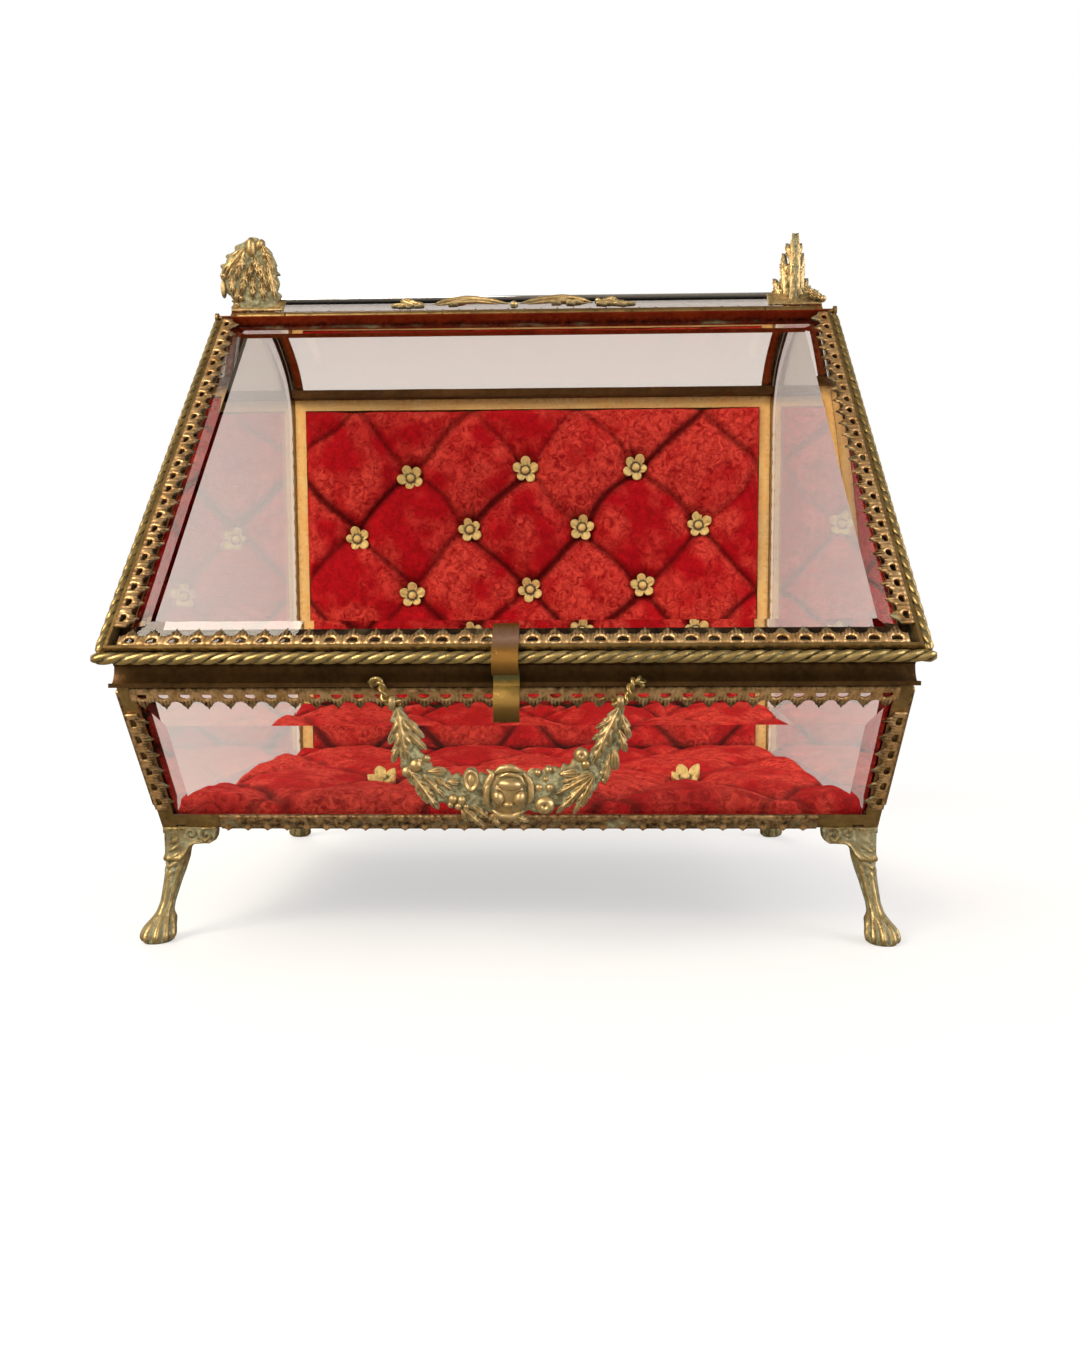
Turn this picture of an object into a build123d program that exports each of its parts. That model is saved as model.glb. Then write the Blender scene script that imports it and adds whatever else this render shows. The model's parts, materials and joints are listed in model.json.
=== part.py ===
from build123d import *
import os
from math import sin, cos, asin, radians, degrees, hypot

# A table casket of bevelled glass in a brass frame: a sloping hinged lid, a bent top glass
# behind it, a buttoned velvet back and floor, a garland drop handle and four cabriole feet.
# All sizes are in millimetres. X runs across, Y to the back and Z up from the table.
# Y counts from the front edge of the rim, and save_all() centres the finished casket.

os.makedirs("parts", exist_ok=True)

# Body
outer_width = 200.0          # over the side frames
body_depth = 178.5           # rim's front edge to the back face
foot_height = 31.5           # table to the underside of the frame
rim_height = 72.2            # table to the underside of the rim moulding
rim_setback = 27.0           # base front edge behind the rim's glass line
rim_lip = 2.5                # rim moulding proud of the glass line
rim_band = 8.0               # rim's underside to the lid's seat, at the rim's front edge
lid_angle = 47.5             # slope of the lid, in degrees
hinge_reach = 148.0          # rim's front edge to the hinge axis, up the slope
hinge_lift = 2.65            # hinge axis above the seat

# Frame sections
sheet = 0.8                  # brass strip thickness
side_leg = 5.0               # frame bar's width over a side glass
front_leg = 4.0              # frame bar's width over the front glass
base_leg = 7.0               # frame bar's width under the base plate
rim_depth = 6.0              # rim moulding, front to back
rim_fillet = 1.1             # thin ledge along the rim's lower edge
rim_side_lip = 1.0           # the ledge past the side frames
rim_top_gap = 0.6            # rim's front top below the seat
cove_depth = 1.6
cove_height = 5.3
ridge_bar_height = 6.0
ridge_bar_width = 3.0
ridge_strip = 6.0            # strip over the bent glass's front edge
ridge_shelf = 3.0            # ledge under the same edge
top_rail_depth = 5.0

# Glass
glass = 3.0
top_glass_thickness = 2.4
bevel_depth = 1.6            # how far a bevel is ground into the face
side_bevel = 8.0
front_bevel_top = 10.5
front_bevel_side = 8.5
front_bevel_base = 4.0
lid_bevel = 8.5
glass_gap = 0.1              # a pane's clearance in its frame

# Bent top
arch_run = 11.0              # straight stretch behind the ridge
arch_front_radius = 20.0
arch_crown_turn = 32.0       # degrees turned by the long crown arc
arch_rear_radius = 30.0
glass_end_rise = 14.2        # bent glass's lower rear edge above the foot of the curve

# Lid
lid_front = 1.6              # lid frame's front face past the rim's front edge, down the slope
lid_top_gap = 2.5            # lid frame's top face to the hinge axis
lid_ledge = 4.0              # ledge under the lid glass
seat_gap = 0.3               # lid frame above its seat
rope_radius = 1.55

# Pierced gallery trim
gallery_pitch = 5.53
gallery_band = 3.6
gallery_tooth = 2.1
gallery_thick = 0.7
window_width = 3.1
window_height = 1.3
window_foot = 0.9            # window's flat edge above the strip's edge
trim_gap = 1.2               # a strip's ends from the next strip
back_strip_drop = 1.4        # back strip's middle below the bent glass's rear edge
ridge_strip_gap = 0.1        # ridge's strip behind the ridge bar

# Hinge
barrel_radius = 1.6
pin_radius = 0.8
pin_clearance = 0.05
barrel_overhang = 2.0        # pin past the side frames
pin_knob = 0.9               # rounded head at each end of the pin
knuckle_gap = 0.4
knuckle_widths = (16.0, 52.0)  # outer body knuckle, lid knuckle
knuckle_leaf = 0.7

# Upholstery
board = 1.5                  # card behind the back cushion
floor_board_thick = 2.0
border = 4.2                 # gilt strip round the back cushion
border_thick = 1.3
border_drop = 3.0            # gilt strip's upper edge below the bent glass's rear edge
back_pad = 7.5
back_tuft = 5.0              # depth of a tuft
floor_pad = 6.8
floor_tuft = 4.2
pad_gap = 0.3
pad_crown = 4.5              # radius of a cushion's rounded edge
pit_radius = 11.0            # mouth of the dip round a stud
back_lift = 3.7              # back cushion above the floor board
crease_depth = 1.8
crease_half = 2.2
stud_pitch = 46.5
top_stud_drop = 28.0         # top row of studs below the gilt strip's upper edge
low_stud_rise = 19.2         # lowest row of studs above the floor board
back_stud_rows = 5
back_stud_offset = -2.5      # the buttoning is a little off centre
floor_stud_pitch = 49.0
floor_stud_offset = 3.0
floor_stud_setback = 48.5    # floor studs behind the foot of the front glass
petal_radius = 1.9
petal_ring = 2.7
petal_thick = 0.6
stud_dome = 1.65
stud_shank = 0.6

# Feet
foot_block = 7.0             # square top of the leg
foot_ear = 15.0              # bracket's reach along the base
foot_ear_height = 4.6
ear_thick = 3.0
knee_width = 7.5
ankle_width = 3.8
ankle_height = 10.5          # table to the ankle
paw_width = 9.8
paw_out_x = 0.6              # paw's centre past the frame's corner
paw_out_y = 4.0

# Front fittings
fitting_x = -1.0             # latch and handle centre, a little left of the middle
latch_width = 6.5
latch_thick = 0.9
loop_half = 28.0             # handle's pivots from its centre
pivot_y = -2.9
pivot_drop = 3.8             # handle's axis below the underside of the rim
wire_radius = 0.75
eye_clearance = 0.08
eye_wall = 1.1
eye_width = 2.0
garland_thick = 2.4
garland_unit = 1.0           # length of one unit of the swag's outline
rosette_radius = 5.9
rosette_rise = 2.8
rosette_bud = 3.6            # radius of the rosette's domed middle
bud_lift = 1.0
fruit_lift = 0.7
wire_rise = 4.2              # top of the handle's wires above the rim's underside
wire_shoulder = 2.6
wire_side = 3.2              # wire beside the handle's eye
wire_end = 1.4               # wire past the eye
wire_bend = 1.3

# Finials and crest
finial_left_inset = 8.5      # leaf's middle in from the side frame
finial_right_inset = 9.5
finial_lead = 1.3            # leaf in front of the start of the bend
finial_wing = 10.0           # width of one wing of the folded leaf
finial_height = 31.0         # with the root that the bent top cuts off
finial_sink = 6.0            # root below the ridge
finial_thick = 1.3
finial_plate = 18.0          # width of the corner plate under a finial
finial_plate_thick = 0.9
finial_plate_gap = 0.3       # corner plate behind the ridge's gallery
crest_offset = -3.0
crest_height = 2.4
crest_width = 5.4            # of the scrolls, up the glass
crest_scroll = 22.0          # length of each long scroll
crest_end = 14.4             # length of the scroll at each end
crest_boss = 5.1
crest_gap = 0.3              # crest behind the ridge's gallery

half = outer_width / 2
seat_height = rim_height + rim_band
pivot_z = rim_height - pivot_drop
tilt = radians(lid_angle)
arch_start = hinge_reach + 2.0
inner_half = half - sheet    # inside face of the side legs
bodies = {}


def save(name, shape):
    """Keeps a finished piece under its node's name."""
    bodies[name] = shape


def group(shapes):
    """One piece made of several separate solids."""
    return Compound([solid for shape in shapes for solid in shape.solids()])


def save_pair(name, right):
    """Keeps the right-hand piece and its mirror image on the left."""
    save(name + "_right", right)
    save(name + "_left", mirror(right, about=Plane.YZ))


def save_all():
    """Moves the casket so that its base centre is the origin, and writes each piece."""
    boxes = [shape.bounding_box() for shape in bodies.values()]
    front = min(box.min.Y for box in boxes)
    back = max(box.max.Y for box in boxes)
    middle = (front + back) / 2
    print("moved by", round(-middle, 4), "depth", round(back - front, 3))
    for name, shape in bodies.items():
        export_step(Pos(0, -middle, 0) * shape, f"parts/{name}.step")


def slope(s, w):
    """Point (y, z) at distance s up the lid's slope and height w above its seat."""
    return (s * cos(tilt) - w * sin(tilt), seat_height + s * sin(tilt) + w * cos(tilt))


def meet(p, u, q, v):
    """Point where the line from p along u crosses the line from q along v."""
    cross = u[0] * v[1] - u[1] * v[0]
    t = ((q[0] - p[0]) * v[1] - (q[1] - p[1]) * v[0]) / cross
    return (p[0] + t * u[0], p[1] + t * u[1])


def block(x, y, z, plane=Plane.XY):
    """Box between pairs of limits in the axes of a plane."""
    middle = Pos((x[0] + x[1]) / 2, (y[0] + y[1]) / 2, (z[0] + z[1]) / 2)
    return plane.location * middle * Box(abs(x[1] - x[0]), abs(y[1] - y[0]), abs(z[1] - z[0]))


def yz_face(edges):
    """Face in the YZ plane from edges drawn in (y, z)."""
    return Plane.YZ.location * make_face(edges)


def across(edges, x0, x1):
    """Solid with a (y, z) outline, from x0 to x1."""
    return Pos(x0, 0, 0) * extrude(yz_face(edges), amount=x1 - x0, dir=(1, 0, 0))


def loop(points):
    return Polyline(*points, close=True)


def arc(centre, radius, start, end):
    """Arc about a centre, between two angles in degrees."""
    at = [(centre[0] + radius * cos(radians(a)), centre[1] + radius * sin(radians(a)))
          for a in (start, (start + end) / 2, end)]
    return ThreePointArc(*at)


def end_point(edge, end):
    """An edge's start (0) or end (1) as a pair of numbers."""
    at = edge @ end
    return (at.X, at.Y)


# The front glass line, from the base corner up to the rim
base_corner = (rim_lip + rim_setback, foot_height)
post_length = hypot(rim_setback, rim_height - foot_height)
post_dir = (-rim_setback / post_length, (rim_height - foot_height) / post_length)
post_in = (post_dir[1], -post_dir[0])
slope_dir = (cos(tilt), sin(tilt))
front_plane = Plane(origin=(0, *base_corner), x_dir=(1, 0, 0), z_dir=(0, -post_in[0], -post_in[1]))
lid_plane = Plane(origin=(0, *slope(0, 0)), x_dir=(1, 0, 0), z_dir=(0, -sin(tilt), cos(tilt)))
hinge = slope(hinge_reach, hinge_lift)


def behind_front(depth):
    """A point on the line that lies a depth behind the front glass line."""
    return (base_corner[0] + depth * post_in[0], base_corner[1] + depth * post_in[1])


def base_front(front, base):
    return meet(behind_front(front), post_dir, (0, foot_height + base), (1, 0))


def rim_turn(front, upright):
    return meet(behind_front(front), post_dir, (rim_lip + upright, 0), (0, 1))


def seat_turn(upright, seat):
    return meet(slope(0, -seat), slope_dir, (rim_lip + upright, 0), (0, 1))


def base_back(back, base):
    return (body_depth - back, foot_height + base)


# The bent top's arcs, on the outside of its brass edge
run_end = arch_start + arch_run
front_centre = slope(run_end, -arch_front_radius)
crown_radius = ((body_depth - front_centre[0] - arch_rear_radius) / sin(radians(arch_crown_turn))
                + arch_rear_radius)
crown_centre = (front_centre[0], front_centre[1] + arch_front_radius - crown_radius)
rear_centre = (crown_centre[0] + (crown_radius - arch_rear_radius) * sin(radians(arch_crown_turn)),
               crown_centre[1] + (crown_radius - arch_rear_radius) * cos(radians(arch_crown_turn)))
arch_foot = rear_centre[1]
top_glass_end = arch_foot + glass_end_rise
border_top = top_glass_end - border_drop


def arch_edges(inset, start, end_angle=0.0):
    """Edges of the bent top from the ridge to the back, a distance inside its outer line.

    The curve is the slope's own straight line, then three arcs that join it and each other
    smoothly. The last arc stops at end_angle above level, where 0 is the upright back.
    """
    turn = 90 - arch_crown_turn
    return [Line(slope(start, -inset), slope(run_end, -inset)),
            arc(front_centre, arch_front_radius - inset, 90 + lid_angle, 90),
            arc(crown_centre, crown_radius - inset, 90, turn),
            arc(rear_centre, arch_rear_radius - inset, turn, end_angle)]


def arch_band(outer, inner, start, end_angle=0.0):
    """Closed outline of a strip that follows the bent top between two insets."""
    out_edges = arch_edges(outer, start, end_angle)
    in_edges = arch_edges(inner, start, end_angle)
    ends = [Line(out_edges[0] @ 0, in_edges[0] @ 0), Line(out_edges[-1] @ 1, in_edges[-1] @ 1)]
    return out_edges + in_edges + ends


def side_outline(base, front, upright, seat):
    """Closed outline of a side wall with its own inset on each edge."""
    corners = [(body_depth - seat, arch_foot), base_back(seat, base), base_front(front, base),
               rim_turn(front, upright), seat_turn(upright, seat), slope(run_end, -seat)]
    return arch_edges(seat, arch_start)[1:] + [Line(*pair) for pair in zip(corners, corners[1:])]


def arc_angle(height, inset):
    """Angle above level at which a line inside the rear arc reaches a height."""
    return degrees(asin((height - rear_centre[1]) / (arch_rear_radius - inset)))


# Frame bars of each side


def angle_bar(outer, side_inner, edge_inner, edge_leg):
    """Right-hand angle bar: a leg on the side wall and a leg across it, joined along the edge."""
    side = across(loop(list(outer) + list(reversed(side_inner))), inner_half, half)
    edge = across(loop(list(outer) + list(reversed(edge_inner))), half - edge_leg, half)
    return side + edge


def build_side_frames():
    a0, a1, a5 = (base_front(d, d) for d in (0.0, sheet, side_leg))
    b0, b1, b5 = (rim_turn(d, d) for d in (0.0, sheet, side_leg))
    c0, c1, c5 = (seat_turn(d, d) for d in (0.0, sheet, side_leg))
    e0, e1, e5 = (base_back(d, d) for d in (0.0, sheet, side_leg))
    d0, d1, d5 = (slope(arch_start, -d) for d in (0.0, sheet, side_leg))
    v0, v1, v5 = ((body_depth - d, arch_foot) for d in (0.0, sheet, side_leg))
    save_pair("base_rail", angle_bar((a0, e0), (a5, e5), (a1, e1), base_leg))
    save_pair("front_post", angle_bar((a0, b0), (a5, b5), (a1, b1), front_leg))
    save_pair("lid_seat", angle_bar((b0, c0, d0), (b5, c5, d5), (b1, c1, d1), front_leg))
    save_pair("rear_post", angle_bar((e0, v0), (e5, v5), (e1, v1), front_leg))
    arch = (across(arch_band(0.0, side_leg, arch_start), inner_half, half)
            + across(arch_band(0.0, sheet, arch_start), half - front_leg, half))
    save_pair("arch_rail", arch)


# Rails that run across between the side frames


def build_cross_rails():
    cross = half - base_leg
    bar_half = half - front_leg
    toe = base_corner[0] + base_leg
    under = loop([base_corner, (toe, foot_height), (toe, foot_height + sheet), base_front(sheet, sheet),
                  base_front(sheet, front_leg), base_front(0.0, front_leg)])
    strip = across(loop([base_front(0.0, sheet), base_front(sheet, sheet), base_front(sheet, front_leg),
                         base_front(0.0, front_leg)]), cross, bar_half)
    save("base_rail_front", across(under, -cross, cross) + strip + mirror(strip, about=Plane.YZ))
    back = block((-cross, cross), (body_depth - base_leg, body_depth), (foot_height, foot_height + sheet))
    upright = (foot_height + sheet, foot_height + side_leg)
    back += block((-bar_half, bar_half), (body_depth - sheet, body_depth), upright)
    save("base_rail_back", back)

    # The rim moulding is a hollow cove with a thin ledge below it and a bead above.
    ledge_top = rim_height + rim_fillet
    cove_top = rim_height + cove_height
    top_front = seat_height - rim_top_gap
    bead = cove_depth - 0.6
    rear_top = meet(slope(0, 0), slope_dir, (rim_depth, 0), (0, 1))[1]
    cove = [Line((0, rim_height), (0, ledge_top)),
            ThreePointArc((0, ledge_top), (0.72 * cove_depth, ledge_top + 0.42 * (cove_top - ledge_top)),
                          (cove_depth, cove_top)),
            Polyline((cove_depth, cove_top), (bead, cove_top + 0.4), (bead, top_front), (rim_lip, top_front),
                     (rim_lip, rim_height), (0, rim_height))]
    rear = loop([(rim_lip, rim_height), (rim_depth, rim_height), (rim_depth, rear_top), seat_turn(0.0, 0.0)])
    rim = across(cove, -half, half) + across(rear, -bar_half, bar_half)
    for side in (-1, 1):
        rim += block((side * half, side * (half + rim_side_lip)), (0, rim_lip), (rim_height, ledge_top))
    save("rim_moulding", rim)

    # The ridge bar hangs below the hinge and grips the front edge of the bent glass.
    shelf = -sheet - top_glass_thickness - 2 * glass_gap
    span = (-bar_half, bar_half)
    ridge = block(span, (arch_start - ridge_bar_width, arch_start), (-ridge_bar_height, 0), lid_plane)
    ridge += block(span, (arch_start, arch_start + ridge_strip), (-sheet, 0), lid_plane)
    ridge += block(span, (arch_start, arch_start + ridge_shelf), (shelf - sheet, shelf), lid_plane)
    save("ridge_bar", ridge)

    # The top rail carries the bent glass's rear edge and caps the velvet back.
    inset = sheet + glass_gap
    rail_top = top_glass_end - glass_gap
    curve = arc(rear_centre, arch_rear_radius - inset, arc_angle(border_top, inset), arc_angle(rail_top, inset))
    nose = (curve @ 1).X - top_rail_depth
    rail = [curve, Polyline(end_point(curve, 1), (nose, rail_top), (nose, border_top),
                            end_point(curve, 0))]
    save("back_top_rail", across(rail, -bar_half, bar_half))


# Panes


def pane(outer, face, thickness, plane):
    """Bevelled pane: an edge of full outline, then a ground bevel up to the flat of its face.

    outer and face are lists of edges in the plane's own axes, with as many edges each.
    """
    land = thickness - bevel_depth
    wires = [Wire(outer), Pos(0, 0, land) * Wire(outer), Pos(0, 0, thickness) * Wire(face)]
    return plane.location * Solid.make_loft(wires, ruled=True)


def trapezoid(x_low, x_high, y_low, y_high):
    points = [(-x_low, y_low), (x_low, y_low), (x_high, y_high), (-x_high, y_high)]
    return [Line(a, b) for a, b in zip(points, points[1:] + points[:1])]


def up_front(point):
    """Distance of a (y, z) point up the front glass line from its base corner."""
    return (point[0] - base_corner[0]) * post_dir[0] + (point[1] - base_corner[1]) * post_dir[1]


def build_glass():
    reach = half - sheet - glass_gap
    inset = sheet + glass_gap
    low = up_front(base_front(sheet, inset))
    top = up_front(meet(behind_front(sheet + glass), post_dir, (0, rim_height - glass_gap), (1, 0)))
    save("front_glass", pane(trapezoid(reach, reach, low, top),
                             trapezoid(reach - front_bevel_side, reach - front_bevel_side,
                                       low + front_bevel_base, top - front_bevel_top),
                             glass, front_plane.offset(-sheet - glass)))

    wall = dict(base=inset, front=inset + glass, upright=inset, seat=inset + top_glass_thickness + glass_gap)
    flat = {edge: inset + side_bevel for edge, inset in wall.items()}
    side_plane = Plane(origin=(reach - glass, 0, 0), x_dir=(0, 1, 0), z_dir=(1, 0, 0))
    save_pair("side_glass", pane(side_outline(**wall), side_outline(**flat), glass, side_plane))

    first, last = arch_start + glass_gap, arc_angle(top_glass_end, sheet)
    bent = across(arch_band(inset, inset + top_glass_thickness, first, last), -reach, reach)
    save("top_glass", bent - block((-half, half), (0, body_depth), (0, top_glass_end)))

    lid_low = inset - lid_front
    lid_high = hinge_reach - lid_top_gap - inset
    face = trapezoid(reach - lid_bevel, reach - lid_bevel, lid_low + lid_bevel, lid_high - lid_bevel)
    save("lid_glass", pane(trapezoid(reach, reach, lid_low, lid_high), face, glass,
                           lid_plane.offset(seat_gap + sheet)))


# Lid frame, rope moulding and hinge


def build_lid():
    low = -lid_front
    high = hinge_reach - lid_top_gap
    base = seat_gap
    wall_top = base + sheet + glass + gallery_thick
    ledge = (base, base + sheet)
    bottom = block((-half, half), (low, low + sheet), (base, wall_top), lid_plane)
    bottom += block((-inner_half, inner_half), (low, low + lid_ledge), ledge, lid_plane)
    save("lid_rail_bottom", bottom)
    top = block((-half, half), (high - sheet, high), (base, wall_top), lid_plane)
    top += block((-inner_half, inner_half), (high - lid_ledge, high), ledge, lid_plane)
    save("lid_rail_top", top)
    side = block((inner_half, half), (low + sheet, high - sheet), (base, wall_top), lid_plane)
    side += block((half - lid_ledge, half), (low + lid_ledge, high - lid_ledge), ledge, lid_plane)
    save_pair("lid_rail", side)

    rope_lift = base + (wall_top - base) / 2
    rope_out = half + rope_radius
    full_rope = 2 * (rope_out + rope_radius)
    across_rope = Pos(0, low - rope_radius, rope_lift) * Rot(0, 90, 0) * Cylinder(rope_radius, full_rope)
    save("rope_bottom", lid_plane.location * across_rope)
    rope_place = Pos(rope_out, (low + high) / 2, rope_lift) * Rot(90, 0, 0)
    save_pair("rope_side", lid_plane.location * rope_place * Cylinder(rope_radius, high - low))


def hinge_tube(x0, x1, leaf):
    """Knuckle about the hinge axis from x0 to x1, with its leaf and its bore."""
    place = Pos((x0 + x1) / 2, *hinge) * Rot(0, 90, 0)
    knuckle = place * Cylinder(barrel_radius, x1 - x0) + leaf
    return knuckle - place * Cylinder(pin_radius + pin_clearance, x1 - x0)


def build_hinge():
    pin_length = outer_width + 2 * barrel_overhang
    pin = Cylinder(pin_radius, pin_length)
    for side in (-1, 1):
        pin += Pos(0, 0, side * (pin_length + pin_knob) / 2) * Cylinder(barrel_radius, pin_knob)
    save("hinge_pin", Pos(0, *hinge) * Rot(0, 90, 0) * pin)

    # Body and lid knuckles take turns along the pin, from each end to the long middle one.
    body_knuckle, lid_knuckle = knuckle_widths
    start = half - front_leg - knuckle_gap
    second = start - body_knuckle - knuckle_gap
    third = second - lid_knuckle - knuckle_gap
    low = hinge_reach - knuckle_leaf / 2
    fixed = []
    for x0, x1 in ((-start, -start + body_knuckle), (-third, third), (start - body_knuckle, start)):
        leaf = block((x0, x1), (low, low + knuckle_leaf), (0, hinge_lift - pin_radius), lid_plane)
        fixed.append(hinge_tube(x0, x1, leaf))
    save("hinge_knuckles_body", group(fixed))
    lift = (hinge_lift - knuckle_leaf / 2, hinge_lift + knuckle_leaf / 2)
    turning = []
    for x0, x1 in ((-second, -second + lid_knuckle), (second - lid_knuckle, second)):
        leaf = block((x0, x1), (hinge_reach - lid_top_gap, hinge_reach - pin_radius), lift, lid_plane)
        turning.append(hinge_tube(x0, x1, leaf))
    save("hinge_knuckles_lid", group(turning))


# Pierced gallery trim


def gallery(length):
    """Straight strip of gallery: D-shaped windows in a band, each under a pointed tooth.

    The strip runs along X about its middle, its plain edge is at y = 0 and its teeth point up Y.
    """
    count = int(length / gallery_pitch)
    first = -(count - 1) * gallery_pitch / 2
    shoulder, neck = 0.36 * gallery_pitch, 0.16 * gallery_pitch
    points = [(-length / 2, gallery_band), (-length / 2, 0), (length / 2, 0), (length / 2, gallery_band)]
    for i in reversed(range(count)):
        middle = first + i * gallery_pitch
        points += [(middle + shoulder, gallery_band), (middle + neck, gallery_band + 0.5),
                   (middle, gallery_band + gallery_tooth), (middle - neck, gallery_band + 0.5),
                   (middle - shoulder, gallery_band)]
    strip = make_face(loop(points))
    side = window_width / 2
    low, high = window_foot, window_foot + window_height
    window = make_face([Polyline((-side, low + 0.3), (-side, low), (side, low), (side, low + 0.3)),
                        ThreePointArc((side, low + 0.3), (0, high), (-side, low + 0.3))])
    windows = [Pos(first + i * gallery_pitch, 0) * window for i in range(count)]
    return extrude(strip - windows, amount=gallery_thick)


def build_galleries():
    gallery_height = gallery_band + gallery_tooth
    lift = seat_gap + sheet + glass
    low = sheet - lid_front
    high = hinge_reach - lid_top_gap - sheet
    lid_side = gallery(high - low - gallery_height)
    middle = (low + gallery_height + high) / 2
    places = [Pos(0, low, lift) * gallery(2 * inner_half),
              Pos(inner_half, middle, lift) * Rot(0, 0, 90) * lid_side,
              Pos(-inner_half, middle, lift) * Rot(0, 0, -90) * lid_side]
    save("gallery_lid", group([lid_plane.location * strip for strip in places]))

    # The lid's upper edge is closed by a strip on the body's ridge, just behind the hinge.
    ridge_strip_place = Pos(0, arch_start + ridge_strip_gap, 0)
    save("gallery_ridge", lid_plane.location * ridge_strip_place * gallery(2 * half - trim_gap))

    # On the body's front the strips lie on the angle legs, with teeth that point inwards, but the
    # base strip hangs its teeth below the frame between the feet.
    rim_strip = Pos(0, post_length, 0) * Rot(0, 0, 180) * gallery(2 * (half - rim_side_lip))
    save("gallery_rim", front_plane.location * rim_strip)
    hem_top = up_front(base_front(0.0, front_leg))
    hem = Pos(0, hem_top, 0) * Rot(0, 0, 180) * gallery(2 * (half - foot_ear) - trim_gap)
    save("gallery_base", front_plane.location * hem)
    post_strip = gallery(post_length - gallery_height - hem_top - trim_gap)
    post_middle = (post_length - gallery_height + hem_top) / 2
    save_pair("gallery_post", front_plane.location * Pos(half, post_middle, 0) * Rot(0, 0, 90) * post_strip)

    # Each side has a strip along its base, its rear post and its front post.
    outside = Plane(origin=(half, 0, 0), x_dir=(0, 1, 0), z_dir=(1, 0, 0))
    base_length = body_depth - base_corner[0] - trim_gap
    base_middle = (body_depth + base_corner[0]) / 2
    upper = foot_height + gallery_height + trim_gap
    rear_length = arch_foot - upper
    post_low = gallery_height / post_dir[1] + trim_gap
    front_length = post_length - post_low - trim_gap
    along = post_low + front_length / 2
    lean = degrees(asin(rim_setback / post_length))
    strips = [Pos(base_middle, foot_height) * gallery(base_length),
              Pos(body_depth, upper + rear_length / 2) * Rot(0, 0, 90) * gallery(rear_length),
              Pos(base_corner[0] + post_dir[0] * along, foot_height + post_dir[1] * along)
              * Rot(0, 0, lean - 90) * gallery(front_length)]
    save_pair("gallery_side", group([outside.location * strip for strip in strips]))

    # The back strip leans on the curve, over the joint of the bent glass and its rail.
    inset = sheet + glass_gap
    lean = radians(arc_angle(top_glass_end - back_strip_drop, inset))
    out = (cos(lean), sin(lean))
    reach = arch_rear_radius - inset
    seat = (0, rear_centre[0] + reach * out[0], rear_centre[1] + reach * out[1])
    back = Plane(origin=seat, x_dir=(-1, 0, 0), z_dir=(0, *out))
    back_strip = gallery(2 * (half - front_leg) - trim_gap)
    save("gallery_back", back.location * Pos(0, -gallery_height / 2, 0) * back_strip)


# Floor, back and their upholstery
floor_top = foot_height + 2 * sheet + floor_board_thick
top_stud = border_top - top_stud_drop
stud_step = (top_stud - floor_top - low_stud_rise) / (back_stud_rows - 1)


def stud_grid():
    """Places (x, z) of the back's studs: rows of four and of three, half a pitch apart."""
    places = []
    for row in range(back_stud_rows):
        count = 3 if row % 2 == 0 else 4
        height = top_stud - row * stud_step
        places += [(back_stud_offset + (i - (count - 1) / 2) * stud_pitch, height) for i in range(count)]
    return places


def floor_studs():
    row = base_corner[0] + floor_stud_setback
    return [(floor_stud_offset + i * floor_stud_pitch, row) for i in (-1, 0, 1)]


def stud(length):
    """Gilt floret with five petals and a domed pin, its shank reaching back by a length."""
    petal = extrude(Circle(petal_radius), amount=petal_thick)
    dome = Pos(0, 0, petal_thick) * Sphere(stud_dome) & Pos(0, 0, stud_dome) * Box(4, 4, 2 * stud_dome)
    body = petal + dome + Pos(0, 0, -length / 2) * Cylinder(stud_shank, length)
    for i in range(5):
        body += Rot(0, 0, 72 * i + 18) * Pos(petal_ring, 0) * petal
    return body


def crease(start, end, top):
    """Wedge that presses a crease into a cushion between two points of its face."""
    dx, dy = end[0] - start[0], end[1] - start[1]
    length = hypot(dx, dy)
    turn = degrees(asin(dy / length)) if dx >= 0 else 180 - degrees(asin(dy / length))
    wedge = Plane.YZ.location * make_face(loop([(-crease_half, top + 0.5), (crease_half, top + 0.5),
                                                (0, top - crease_depth)]))
    return Pos(*start) * Rot(0, 0, turn) * extrude(wedge, amount=length, dir=(1, 0, 0))


def cushion(x, y, thickness, tufts, tuft_depth, creases):
    """Tufted pad between limits in x and y, rising to a thickness with rounded-in edges."""
    pad = block(x, y, (0, thickness))
    pad = fillet(pad.faces().sort_by(Axis.Z)[-1].edges(), pad_crown)
    for start, end in creases:
        pad -= crease(start, end, thickness)
    bottom = thickness - tuft_depth
    pit = Pos(0, 0, bottom + tuft_depth / 2 + 0.25) * Cone(petal_ring + petal_radius + pad_gap, pit_radius,
                                                          tuft_depth + 0.5)
    hole = Cylinder(stud_shank + pad_gap, 3 * thickness)
    for x, y in tufts:
        pad -= Pos(x, y) * (pit + hole)
    return pad


def back_creases(places, x, y):
    """Pleats from each tuft to its diagonal neighbours, and from the outer rows to the edges."""
    lines = []
    for a in places:
        for b in places:
            if 0 < a[1] - b[1] < 1.5 * stud_step and abs(a[0] - b[0]) < stud_pitch:
                lines.append((a, b))
    rows = sorted({place[1] for place in places})
    for place in places:
        if place[1] == rows[-1]:
            lines.append((place, (place[0], y[1])))
        if place[1] == rows[0]:
            lines.append((place, (place[0], y[0])))
        if abs(place[0] - back_stud_offset) > 1.2 * stud_pitch:
            lines.append((place, (x[0] if place[0] < 0 else x[1], place[1])))
    return lines


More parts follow.
